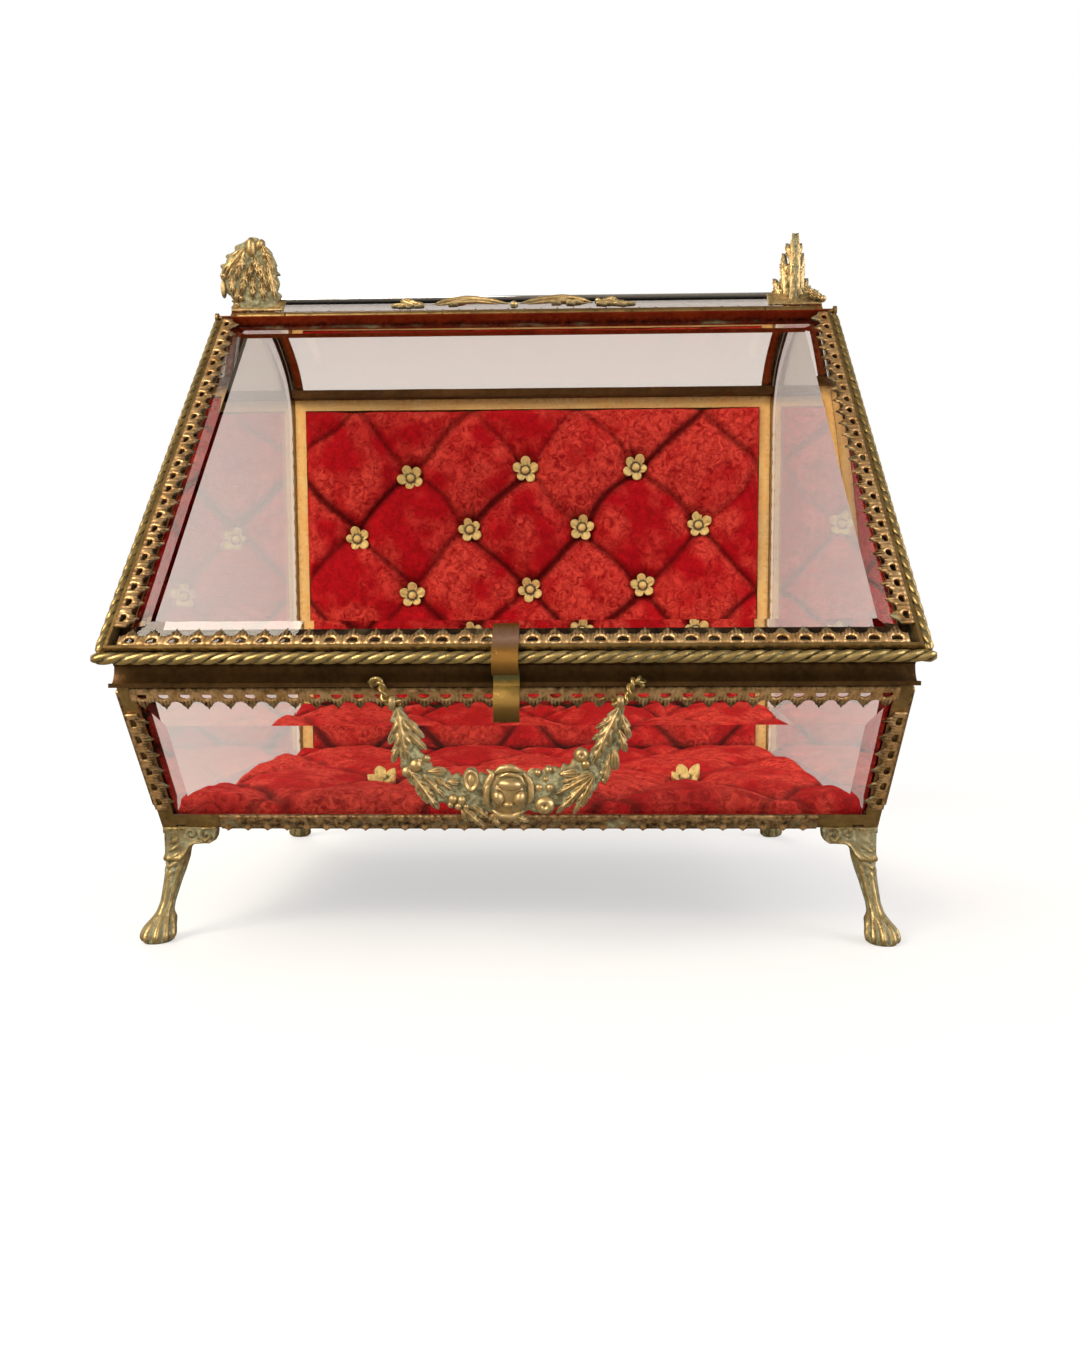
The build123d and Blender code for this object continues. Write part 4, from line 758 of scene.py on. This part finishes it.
swag += [berry(*petal) for petal in (
    (0.6, -22.2, 4.0, 1.0, 0.0, 0.0, 0.98, 0.0, 0.9), (0.9, -20.0, 3.3, 2.3, 0.0, 0.0, 0.5, -4, 1.5),
    (-2.0, -23.2, 1.55, 2.2, 0.0, 0.0, 1.35, 14, 1.3), (3.3, -23.4, 1.5, 2.1, 0.0, 0.0, 1.35, -16, 1.3),
    (0.5, -25.0, 1.5, 1.6, 0.0, 0.0, 0.6, 0.0, 1.4))]


def eyelet(x, radius=1.38, wire=0.55, half_length=0.9):
    """Eye of the handle: a ring round a line along X, with an oval section of half_length by wire."""
    turn, angle = circle(28)[:, None], circle(12)
    reach = radius + wire * np.sin(angle)
    skin = np.broadcast_arrays(x + half_length * np.cos(angle), reach * np.cos(turn), reach * np.sin(turn))
    points = np.stack(skin, -1).reshape(-1, 3)
    return points, weave(28, 12, True, True), np.full(len(points), 0.35), points[:, :2]


swag += [eyelet(-28.0), eyelet(28.0)]
piece("garland", [placed(part, PIVOT, *FORWARD) for part in swag], "handle", leaf_brass,
      ("garland_handle",))


def twisted(points, pitch=4.6, swing_out=0.546, wire=0.58):
    """Two wires laid round each other along a smooth path through points.

    Each wire's middle goes round the path at swing_out, once in every pitch.
    """
    run, path = spaced(points, 90, 3)
    path = eased(path, 40)
    angle = circle(10)
    strands = []
    for phase in (0, np.pi):
        swing = 2 * np.pi * run[:, None] / pitch + phase
        ring = np.stack([swing_out * np.cos(swing) + wire * np.cos(angle),
                         swing_out * np.sin(swing) + wire * np.sin(angle)], -1)
        strands.append(tube(path, ring, np.array([0.3, 0.2, 1.0])))
    return strands


for side, label in SIDES:
    hook = [(side * x, y, z) for x, y, z in (
        (34.0, 4.4, -3.4), (32.4, 5.8, -1.2), (30.8, 5.0, 0.3), (30.2, 2.6, 0.4), (29.9, 0.3, 0),
        (28.0, 0, 0), (25.9, 0, 0))]
    wires = twisted(hook)
    wires.append(turned(knob(2.6, 1.9, 0.8, 0.0, -0.5), 20 * side, side * 33.4, 4.8, -3.4))
    piece("wire_" + label, [placed(part, PIVOT, *FORWARD) for part in wires], "casket", rope_brass,
          ("wire_loop_" + label,))


# Feet


def foot(corner, flip):
    """Cabriole foot, drawn for the right rear corner at (0, 0) with its top at z = 0, then flipped and moved.

    The leg's centre and half widths follow the casket's leg. Six flutes of 7 % run down the shank, waves
    2.3 mm apart stand on the knee for the acanthus, and nine ribs of 10 % spread over the paw.
    """
    # depth below the top, centre (x, y) and half widths (x, y)
    stations = np.array([
        (0, -3.5, -3.5, 3.75, 3.75), (3.5, -3.5, -3.5, 3.75, 3.6), (9.0, -3.2, -3.0, 3.3, 3.1),
        (15.0, -2.1, -1.4, 2.45, 2.35), (21.0, -1.0, 0.3, 1.95, 1.95), (23.5, -0.5, 1.3, 2.3, 2.1),
        (25.5, 0.0, 2.4, 3.2, 2.8), (27.4, 0.4, 3.3, 4.3, 3.7), (29.4, 0.6, 4.0, 4.75, 4.1),
        (30.7, 0.6, 4.1, 4.6, 3.9), (LEG, 0.6, 4.1, 3.8, 3.2)]).T
    down = np.linspace(0, LEG, 110)
    centre = eased(np.stack([np.interp(down, stations[0], column) for column in stations[1:]], -1), 5)
    wide, deep = centre[:, 2:3], centre[:, 3:4]
    angle = circle(72)
    c, s = np.cos(angle - np.pi / 4), np.sin(angle - np.pi / 4)
    reach = wide * deep / np.sqrt((deep * c) ** 2 + (wide * s) ** 2)
    down = down[:, None]
    outward = np.clip(np.cos(angle - np.radians(60)), 0, 1)
    knee = np.exp(-((down - 8.5) / 4.0) ** 2) * outward ** 2
    shank = smooth_step((down - 9) / 4) * (1 - smooth_step((down - 22) / 4))
    paw = smooth_step((down - 23.5) / 3.5)
    wave = np.cos(2 * np.pi * (down / 2.3 + 0.9 * np.abs(np.sin(angle - np.radians(62)))))
    flute = np.cos(6 * (angle - np.radians(72)))
    rib = np.cos(9 * (angle - np.radians(60)))
    side_knob = np.exp(-((down - 25.2) / 1.5) ** 2) * np.exp(-((angle - np.radians(205)) / 0.35) ** 2)
    swell = 0.13 * knee * wave + 0.07 * shank * flute + 0.1 * paw * rib * (down < 31) + 0.3 * side_knob
    reach = reach * (1 + swell)
    recess = 0.45 - 0.4 * (knee * wave + shank * flute + paw * rib) + 0.25 * knee
    skin = np.stack([centre[:, :1] + reach * np.cos(angle), centre[:, 1:2] + reach * np.sin(angle),
                     np.broadcast_to(-down, reach.shape)], -1)
    top, toe = [skin[[k]] * 0 + skin[k].mean(0) for k in (0, -1)]
    skin = np.concatenate([top, skin, toe])
    recess = np.clip(np.concatenate([recess[:1], recess, recess[-1:]]), 0, 1)
    points = skin.reshape(-1, 3)
    parts = [(points, weave(*skin.shape[:2], join_columns=True), recess.ravel(), points[:, [0, 2]])]

    # ears: a plate whose outer face has two curls and a raised lower edge
    x = np.linspace(-15.2, -1.0, 64)[:, None] * np.ones((1, 26))
    foot_line = np.interp(x, [-15.2, -15.0, -14.2, -13.2, -11, -9, -7.5, -6, -4.8, -1],
                          [-1.2, -2.6, -4.0, -4.6, -4.6, -4.7, -5.6, -8.2, -9.6, -9.8])
    v = np.linspace(0, 1, 26)[None]
    height = v * foot_line
    curls = (((-12.3, -2.3), 1.75, 2.6, -1, 1.0), ((-8.0, -2.0), 1.5, 1.7, 1, 0.7))
    curl = 0
    for (cx, cz), pitch, size, sense, share in curls:
        rho, bearing = np.hypot(x - cx, height - cz), np.arctan2(height - cz, x - cx)
        curl = curl + share * np.cos(2 * np.pi * rho / pitch + sense * bearing) * np.exp(-(rho / size) ** 4)
    edge = np.exp(-((v - 0.93) / 0.09) ** 2) + 0.5 * np.exp(-((v - 0.05) / 0.08) ** 2)
    raised = 0.5 * np.clip(curl, -0.7, 1) + 0.55 * edge
    ear = shell(np.stack([x, raised, height], -1), np.stack([x, -2.9 + 0 * raised, height], -1),
                np.clip(0.85 - 0.8 * (raised + 0.25), 0, 1), np.stack([x, height], -1))
    parts += [ear, (ear[0][:, [1, 0, 2]], *ear[1:])]
    block = np.array([(x, y, z) for z in (0.0, -1.6) for x, y in ((-7, -7), (0, -7), (0, 0), (-7, 0))])
    walls = np.array([(0, 1, 5, 4), (1, 2, 6, 5), (2, 3, 7, 6), (3, 0, 4, 7), (3, 2, 1, 0), (4, 5, 6, 7)])
    parts.append((block, walls, np.full(8, 0.6), block[:, :2]))
    return [(part[0] * flip + corner, *part[1:]) for part in parts]


for end, facing, edge in (("front", -1, BASE_FRONT), ("rear", 1, BACK_FACE)):
    for side, label in reversed(SIDES):
        name = end + "_" + label
        piece("cabriole_" + name, foot((side * HALF, edge, LEG), (side, facing, 1)), "casket", cast_brass,
              ("foot_" + name,))


# Corner leaves and crest

# plates on the ridge under the corner leaves, X across and s up the lid's slope
plate_x, plate_s = np.meshgrid(np.linspace(-100, -82.2, 30), np.linspace(156.2, 162.2, 12), indexing="ij")
plate_top = 0.75 + 0.12 * cloud(plate_x, plate_s, 2.0, 5)
faces = [np.stack([plate_x, plate_s, level + 0 * plate_x], -1) for level in (plate_top, 0.05)]
plate = placed(shell(*faces, 0.3 + 0 * plate_x), LID_FOOT, *SLOPE)
left_leaf = [backing([
    (-0.5, -3.0, 8.0), (-0.4, 0.5, 7.8), (-0.9, 4.5, 7.8), (-2.3, 6.8, 9.2), (-2.6, 9.4, 9.6),
    (-2.2, 12.2, 8.9), (-1.8, 14.6, 7.5), (-1.3, 17.0, 5.6), (-0.8, 18.8, 3.7), (-0.6, 20.0, 2.6),
    (-0.6, 20.7, 1.4)], 1.4, 1.5, 9)]
left_leaf += [spray(*leaf_of) for leaf_of in (
    ((-3.2, 17.6), (-11.8, 7.0), 5.8, 2, 1.9, 0.2), ((-8.4, 8.6), (-8.0, 1.6), 3.0, 2, 1.9, 0.3),
    ((2.2, 18.4), (6.6, 8.4), 4.4, 3, 1.7, 0.2), ((4.6, 12.0), (6.4, 0.0), 4.0, 3, 1.8, 0.25),
    ((-0.6, 15.0), (2.6, 5.4), 4.0, 4, 2.4), ((-3.6, 15.0), (-7.0, 6.6), 3.8, 3, 2.2),
    ((1.8, 12.0), (4.0, 3.0), 3.4, 3, 2.4), ((-2.6, 10.8), (-5.2, 1.6), 3.8, 3, 2.2),
    ((-0.4, 8.0), (-1.4, 0.0), 3.6, 3, 2.3), ((2.0, 6.4), (2.6, -0.6), 3.4, 2, 2.1),
    ((-5.6, 4.4), (-7.6, -1.0), 2.8, 2, 1.9), ((-1.4, 12.6), (-2.2, 6.2), 2.6, 2, 2.5))]
left_leaf += [berry(*bud) for bud in (
    (-1.5, 17.4, 1.9, 2.6, 0.0, 0.0, 2.0), (1.5, 18.3, 1.4, 2.0, 0.0, 0.0, 1.6, -24),
    (-11.5, 4.2, 0.95, 1.6, 0.0, 0.0, 3.2), (-11.3, 8.2, 1.2, 2.2), (-5.2, 0.6, 0.9, 2.2),
    (-6.8, -1.4, 1.0, 1.9), (3.4, 14.6, 1.5, 2.6), (-5.8, 12.2, 1.1, 1.4, 0.0, 1.0))]
left_top = np.array([-91.5, RIM_FRONT + 107.4, 199.4])
parts = [placed(part, left_top, *FORWARD) for part in left_leaf]
piece("leaf_left", parts + [plate], "casket", leaf_brass, ("finial_left",))
# the right leaf stands folded along its rib, half to each side, with a small spray trailing from its foot
wing = [spray(*leaf_of) for leaf_of in (
    ((0.5, -3.0), (0.3, 20.4), 4.4, 4, 1.3), ((3.0, -2.0), (4.9, 15.2), 4.8, 4, 1.3),
    ((1.6, 8.0), (6.2, 12.0), 4.0, 3, 1.2), ((5.0, 0.0), (9.2, 8.0), 4.0, 3, 1.2),
    ((1.0, 12.0), (3.4, 18.0), 3.4, 2, 1.1))]
wing += [berry(8.4, 2.4, 1.5, 0.5, 0.0, 0.9, 1.2),
         scroll([(6.4, -2.0), (9.0, -1.2), (9.8, 2.2), (8.6, 5.0)], 0.8)]
right_top = np.array([91.1, RIM_FRONT + 107.2, 199.0])
fold = np.radians(55)
parts = [placed(part, right_top, np.array([half * np.cos(fold), np.sin(fold), 0]), UP,
                np.array([half * np.sin(fold), -np.cos(fold), 0])) for half in (-1, 1) for part in wing]
trail_leaves = [spray((0.0, 3.0), (4.2, 1.0), 3.6, 2, 1.2), spray((2.4, 1.4), (7.0, -0.4), 3.4, 2, 1.2),
                berry(7.2, -0.6, 1.1), berry(3.4, 0.6, 0.9)]
parts += [placed(part, right_top + np.array([2.0, -1.6, -1.0]), *FORWARD) for part in trail_leaves]
piece("leaf_right", parts + [mirrored(plate)], "casket", leaf_brass, ("finial_right",))
crest = [scroll(stem, size, z, 1.0, count) for stem, size, z, count in (
    ([(-31.0, 0.8), (-27.0, 3.2), (-20.0, 4.5), (-12.0, 3.2), (-5.4, 0.9)], 1.0, 0.9, 40),
    ([(-30.0, 0.6), (-24.0, 2.0), (-16.0, 2.6), (-9.0, 1.0)], 0.7, 0.8, 40),
    ([(-1.8, 0.9), (5.0, 3.4), (13.0, 4.6), (19.0, 3.4), (23.0, 0.9)], 1.0, 0.9, 40),
    ([(1.0, 0.7), (8.0, 2.3), (15.0, 2.5), (21.4, 0.7)], 0.7, 0.8, 40),
    ([(-35.5, 0.9), (-38.0, 1.2), (-41.5, 3.4), (-40.0, 5.0), (-38.4, 4.0)], 0.75, 0.8, 30),
    ([(24.0, 1.0), (27.0, 2.6), (30.0, 4.2), (31.4, 2.8)], 0.75, 0.8, 30))]
crest += [spray(*leaf_of) for leaf_of in (
    ((-34.0, 0.9), (-42.4, 3.6), 3.6, 3, 1.1), ((-37.0, 1.0), (-45.4, 1.2), 2.6, 3, 1.0),
    ((-26.0, 1.2), (-18.0, 4.4), 2.8, 3, 1.3), ((9.0, 1.4), (16.5, 4.8), 3.2, 3, 1.3),
    ((14.0, 1.2), (21.0, 2.8), 2.6, 3, 1.2), ((24.0, 0.8), (33.5, 2.2), 2.8, 3, 1.0),
    ((30.0, 0.8), (37.5, 1.0), 2.2, 2, 0.9))]
crest += [berry(*bud) for bud in ((-35.3, 1.6, 1.1), (-3.6, 1.2, 1.3), (24.8, 3.0, 1.1), (29.6, 3.2, 1.0),
                                  (-39.4, 4.0, 0.9), (13.6, 3.0, 0.9))]
piece("crest", [placed(part, on_lid(0, 156.0, 0.55), *SLOPE) for part in crest], "casket",
      leaf_brass, ("top_crest",))


# Velvet cushions and their florets


def quilt(u, v, studs, first, steps, seed, fold, depth):
    """Height taken off a buttoned cushion at (u, v), with the painted shade of its folds and studs there and
    the lay of its pile.

    Studs stand on a diamond lattice that starts at first, with steps along u and v, and the pleats run along
    it, each with a strength of its own. A pleat is a wide valley, exp(-(d / 5.5)^2), with a sharp crease in
    it, exp(-(d / 1.1)^2). Each stud has a pit, exp(-(d / 5.4)^1.7), and three short puckers above it.
    """
    rng = np.random.default_rng(seed)
    p = (u - first[0]) / steps[0] + 0.09 * cloud(u, v, 17.0, seed + 1)
    q = (v - first[1]) / steps[1] + 0.09 * cloud(u, v, 15.0, seed + 2)
    table = rng.uniform(0, 1, (3, 41, 41))
    drop, fold_shade = 0 * u, 0 * u
    along, athwart = (p + q) / 2, (p - q) / 2
    spread = 2 * steps[0] * steps[1] / np.hypot(*steps)
    for k, (a, b) in enumerate(((along, athwart), (athwart, along))):
        near = np.round(a)
        strength = fold * (0.4 + 0.6 * table[k, near.astype(int) % 41, np.floor(b).astype(int) % 41])
        off = np.abs(a - near) * spread
        drop = drop + strength * (2.4 * np.exp(-(off / 5.5) ** 2) + 1.3 * np.exp(-(off / 1.1) ** 2))
        # painted shade along each pleat's crease
        crease = np.exp(-(off / 1.5) ** 2) + 0.25 * np.exp(-(off / 4.5) ** 2)
        fold_shade = np.maximum(fold_shade, strength * crease)
    middle = np.abs(np.sin(np.pi * along) * np.sin(np.pi * athwart)) ** 0.5
    drop = drop + 1.3 * (1 - middle)
    for x, y in studs:
        d = np.hypot(u - x, v - y)
        drop = drop + depth * np.exp(-(d / 5.4) ** 1.7)
        # a painted shadow centred 2.2 mm above each stud
        fold_shade = np.maximum(fold_shade, 0.8 * np.exp(-(np.hypot(u - x, v - y - 2.2) / 5.2) ** 2))
        for slant in rng.uniform(-1.2, 1.2, 3):
            c, s = np.cos(np.pi / 2 + slant), np.sin(np.pi / 2 + slant)
            run, off = (u - x) * c + (v - y) * s, (v - y) * c - (u - x) * s
            off = off + 0.6 * np.sin(run / 2.4 + 5 * slant)
            reach = rng.uniform(5.0, 12.0)
            tuck = (run > 0) * np.exp(-(off / 0.9) ** 2) * np.clip(1.25 - run / reach, 0, 1)
            drop = drop + 1.3 * tuck
            # painted shade in the puckers
            fold_shade = np.maximum(fold_shade, tuck)
    lay = 0.5 * table[2, np.floor(along).astype(int) % 41, np.floor(athwart).astype(int) % 41]
    lay = lay + 0.5 * (0.5 + 0.6 * cloud(u, v, 9.0, seed + 3) + 0.25 * cloud(u, v, 4.0, seed + 4))
    for size, share, more in ((6.5, 0.5, 9), (11.0, 0.4, 5), (4.3, 0.22, 6), (1.7, 0.13, 7)):
        drop = drop + share * cloud(u, v, size, seed + more)
    return drop, np.clip(fold_shade, 0, 1), np.clip(lay, 0, 1)


def cushion(u_span, v_span, thick, studs, first, steps, seed, fold, depth, ragged=0.0, pitch=0.72, crown=4.0):
    """Closed cushion over a rectangle: a quilted front whose edges roll in over crown, and a flat back."""
    edges = [low + (high - low) * np.linspace(0, 1, int((high - low) / pitch))
             for low, high in (u_span, v_span)]
    u, v = np.meshgrid(*edges, indexing="ij")
    rim = np.minimum(np.minimum(u - u_span[0], u_span[1] - u), np.minimum(v - v_span[0], v_span[1] - v))
    drop, fold_shade, lay = quilt(u, v, studs, first, steps, seed, fold, depth)
    roll = np.sqrt(np.clip(1 - (1 - np.clip(rim / crown, 0, 1)) ** 2, 0, 1))
    height = np.clip((thick - drop) * (0.25 + 0.75 * roll), 0.3, thick)
    v = v - ragged * (1 - roll) * (0.5 + 0.5 * cloud(u, 0 * v, 8.0, seed + 8)) * (v > sum(v_span) / 2)
    # the painted fold shade goes in as the recess, which darkens the velvet
    return shell(np.stack([u, v, height], -1), np.stack([u, v, 0 * u], -1), fold_shade,
                 np.stack([lay, 0 * lay], -1) / MM)


def floret(seed, cup):
    """Stamped gilt floret: five petals round a domed pin, some of them bent or worn small.

    Its edge is 5.2 |sin(2.5 angle)|^0.24 times a size of each petal's own, and its face is cupped as the
    square of the radius. The dome is a ball of 1.62, 1.15 times as high, and a dark groove runs round it.
    """
    rng = np.random.default_rng(seed)
    n = 60
    angle = circle(n)[:, None]
    size = rng.uniform(0.84, 1.06, 5)[np.arange(n) // 12][:, None]
    bent = rng.uniform(0.4, 1.0, 5)[np.arange(n) // 12][:, None]
    petal = np.clip(np.abs(np.sin(2.5 * angle)) ** 0.24 * size, 0.5, 1.1)
    ring = np.array([0, 0.5, 0.9, 1.25, 1.5, 1.62, 1.85, 2.3, 2.9, 3.5, 4.1, 4.6])[None]
    radius = np.where(ring > 1.8, 1.8 + (ring - 1.8) * (5.2 * petal - 1.8) / 2.8, ring * np.ones((n, 1)))
    dome = np.sqrt(np.clip(1.62 ** 2 - radius ** 2, 0, 10))
    vein = 0.16 * np.cos(10 * angle) * (radius > 2.2)
    height = 0.35 + cup * bent * (radius / 4.6) ** 2 + 1.15 * dome + vein
    recess = np.clip(1.15 * np.exp(-((radius - 1.85) / 0.42) ** 2) + 0.2 * (vein < 0), 0, 1)
    return turned(wheel(radius, height, recess), rng.uniform(0, 72), 0, 0)


across_step, up_step = 23.25, 24.2814
back_first = (-2.5, 151.426)
back_studs = [(back_first[0] + (i - (n - 1) / 2) * 2 * across_step, back_first[1] - row * up_step)
              for row, n in enumerate((3, 4, 3, 4, 3)) for i in range(n)]
# the first ten studs were not sewn on quite evenly
SHIFTS = ((0, -3.6), (0, -0.8), (-2.1, 0), (1.1, -3.5), (0.5, 0), (-0.5, 0.5), (0, 1.2), (0, -2.1), (1.7, 0),
          (0.9, 1.5))
back_studs[:10] = [(x + dx, z + dz) for (x, z), (dx, dz) in zip(back_studs, SHIFTS)]
floor_studs = [(-46.0, 78.0), (3.0, 78.0), (52.0, 78.0)]
low, high = np.array(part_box("back_cushion")) / MM
back_foot_y = high[1]
back_pad = cushion((low[0], high[0]), (low[2], high[2]), 7.5, back_studs, back_first,
                   (across_step, up_step), seed=11, fold=0.8, depth=3.7, ragged=0.9)
made = piece("velvet_back", [placed(back_pad, back_foot_y * BACK, *FORWARD)], "casket", velvet,
             ("back_cushion",))
low, high = np.array(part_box("floor_cushion")) / MM
floor_pad = cushion((low[0], high[0]), (low[1] - RIM_FRONT, high[1] - RIM_FRONT), high[2] - low[2],
                    floor_studs, floor_studs[1], (24.5, 36.0), seed=23, fold=0.75, depth=3.0, pitch=0.8)
made = piece("velvet_floor", [placed(floor_pad, np.array([0, RIM_FRONT, low[2]]), ACROSS, BACK, UP)],
             "casket", velvet, ("floor_cushion",))
back_tuft, floor_tuft = 2.9, 4.1                          # how far out the florets sit in their tufts
florets = [placed(floret(40 + i, 1.9), np.array([x, back_foot_y - back_tuft, z]), *FORWARD)
           for i, (x, z) in enumerate(back_studs)]
piece("florets_back", florets, "casket", petal_gilt, ("back_studs",))
tilt = np.radians(20)                                     # the pile props them up towards the front
florets = [placed(floret(70 + i, 3.2), np.array([x, RIM_FRONT + y, low[2] + floor_tuft]), ACROSS,
                  BACK * np.cos(tilt) + UP * np.sin(tilt), UP * np.cos(tilt) - BACK * np.sin(tilt))
           for i, (x, y) in enumerate(floor_studs)]
piece("florets_floor", florets, "casket", petal_gilt, ("floor_studs",))


# Camera, lamps and floor


def posed(axes, at):
    """Matrix that turns an object's axes to three directions and sets it at a point in metres."""
    return Matrix([[*row, p] for row, p in zip(np.stack(axes, 1), at)] + [[0, 0, 0, 1]])


# fitted to the edges in the photo: place in millimetres, angles in radians
eye = np.array([13.8, -349.6, 84.4])
yaw, pitch, roll = -0.0252, 0.0824, -0.0043
look = np.array([np.sin(yaw) * np.cos(pitch), np.cos(yaw) * np.cos(pitch), -np.sin(pitch)])
right = np.array([np.cos(yaw), -np.sin(yaw), 0])
top = np.cross(right, look)
camera = bpy.data.objects.new("camera", bpy.data.cameras.new("camera"))
camera.data.sensor_width = 36.0
camera.data.lens = 28.0
camera.data.shift_y = 49 / 1350      # the lens's middle lies 49 of the picture's 1350 rows off its centre
camera.data.clip_start = 0.01
wide = right * np.cos(roll) + top * np.sin(roll)
tall = top * np.cos(roll) - right * np.sin(roll)
camera.matrix_world = posed((wide, tall, -look), eye * MM)
bpy.context.scene.collection.objects.link(camera)
bpy.context.scene.camera = camera


def softbox(name, at, size, watts, colour):
    """Square lamp at a point in metres that faces the middle of the casket."""
    lamp = bpy.data.lights.new(name, "AREA")
    lamp.size = size
    lamp.energy = watts
    lamp.color = shade(colour)[:3]
    made = bpy.data.objects.new(name, lamp)
    middle = (0, 0, 0.09)
    away = unit(np.array(at) - middle)
    wide = unit(np.cross(UP, away))
    made.matrix_world = posed((wide, np.cross(away, wide), away), at)
    made.visible_camera = False
    made.visible_transmission = False
    bpy.context.scene.collection.objects.link(made)


softbox("window_left", (-0.75, -0.75, 0.85), 0.7, 15.0, "#FFF3E0")
softbox("room_right", (0.95, -0.45, 0.55), 0.8, 8.0, "#F6F4FA")
softbox("behind", (-0.5, 1.1, 0.75), 0.8, 8.5, "#FFFAF2")


def straight_view(tree, ray):
    """1 for what the eye sees directly or straight through glass, and 0 for anything mirrored on the way."""
    unmirrored = add(tree, "Math", {0: ray["Glossy Depth"], 1: 0.5}, operation="LESS_THAN")
    through = add(tree, "Math", {0: ray["Is Transmission Ray"], 1: unmirrored}, operation="MULTIPLY")
    return add(tree, "Math", {0: ray["Is Camera Ray"], 1: through}, operation="MAXIMUM")


# White paper: it takes shadows round the feet, and fades into the white of the room further out
floor_mesh = bpy.data.meshes.new("floor")
floor_mesh.from_pydata([(-4, -4, 0), (4, -4, 0), (4, 4, 0), (-4, 4, 0)], [], [(0, 1, 2, 3)])
floor = bpy.data.objects.new("floor", floor_mesh)
bpy.context.scene.collection.objects.link(floor)
paper, tree = blank("white_paper_floor")
reach = add(tree, "VectorMath", {0: add(tree, "TexCoord").outputs["Object"]}, operation="LENGTH")
far = add(tree, "MapRange", {"Value": reach, "From Min": 0.16, "From Max": 0.6, "To Min": 0.55},
          interpolation_type="SMOOTHSTEP")
ray = add(tree, "LightPath").outputs
seen = straight_view(tree, ray)
share = add(tree, "Math", {0: far, 1: seen}, operation="MULTIPLY")
sheet_paper = add(tree, "BsdfPrincipled", {"Base Color": shade("#F1EFEC"), "Roughness": 0.8})
glow = add(tree, "Emission", {"Color": (1, 1, 1, 1), "Strength": 1.0})
both = add(tree, "MixShader", {0: share, 1: sheet_paper, 2: glow})
mirrored_floor = add(tree, "Emission", {"Color": shade("#C8B8A0"), "Strength": 0.2})
mirror_only = add(tree, "Math", {0: ray["Is Glossy Ray"], 1: seen}, operation="SUBTRACT", use_clamp=True)
whole = add(tree, "MixShader", {0: mirror_only, 1: both, 2: mirrored_floor})
add(tree, "OutputMaterial", {"Surface": whole})
floor_mesh.materials.append(paper)

# White room: metal mirrors it as warm walls under a dark ceiling
world = bpy.data.worlds.new("room")
bpy.context.scene.world = world
world.use_nodes = True
tree = world.node_tree
tree.nodes.clear()
ray = add(tree, "LightPath").outputs
plain = add(tree, "Background", {"Color": shade("#E9E6E1"), "Strength": 0.84})
white = add(tree, "Background", {"Color": (1, 1, 1, 1), "Strength": 1.0})
rise = add(tree, "SeparateXYZ", {0: add(tree, "TexCoord").outputs["Generated"]}).outputs["Z"]
ceiling = add(tree, "MapRange", {"Value": rise, "From Min": 0.2, "From Max": 0.8, "To Min": 0.65,
                                 "To Max": 0.0}, interpolation_type="SMOOTHSTEP")
dim = add(tree, "Background", {"Color": shade("#E2D8C6"), "Strength": ceiling})
room = add(tree, "MixShader", {0: ray["Is Glossy Ray"], 1: plain, 2: dim})
both = add(tree, "MixShader", {0: straight_view(tree, ray), 1: room, 2: white})
add(tree, "OutputWorld", {"Surface": both})
bpy.context.scene.view_settings.view_transform = "Standard"
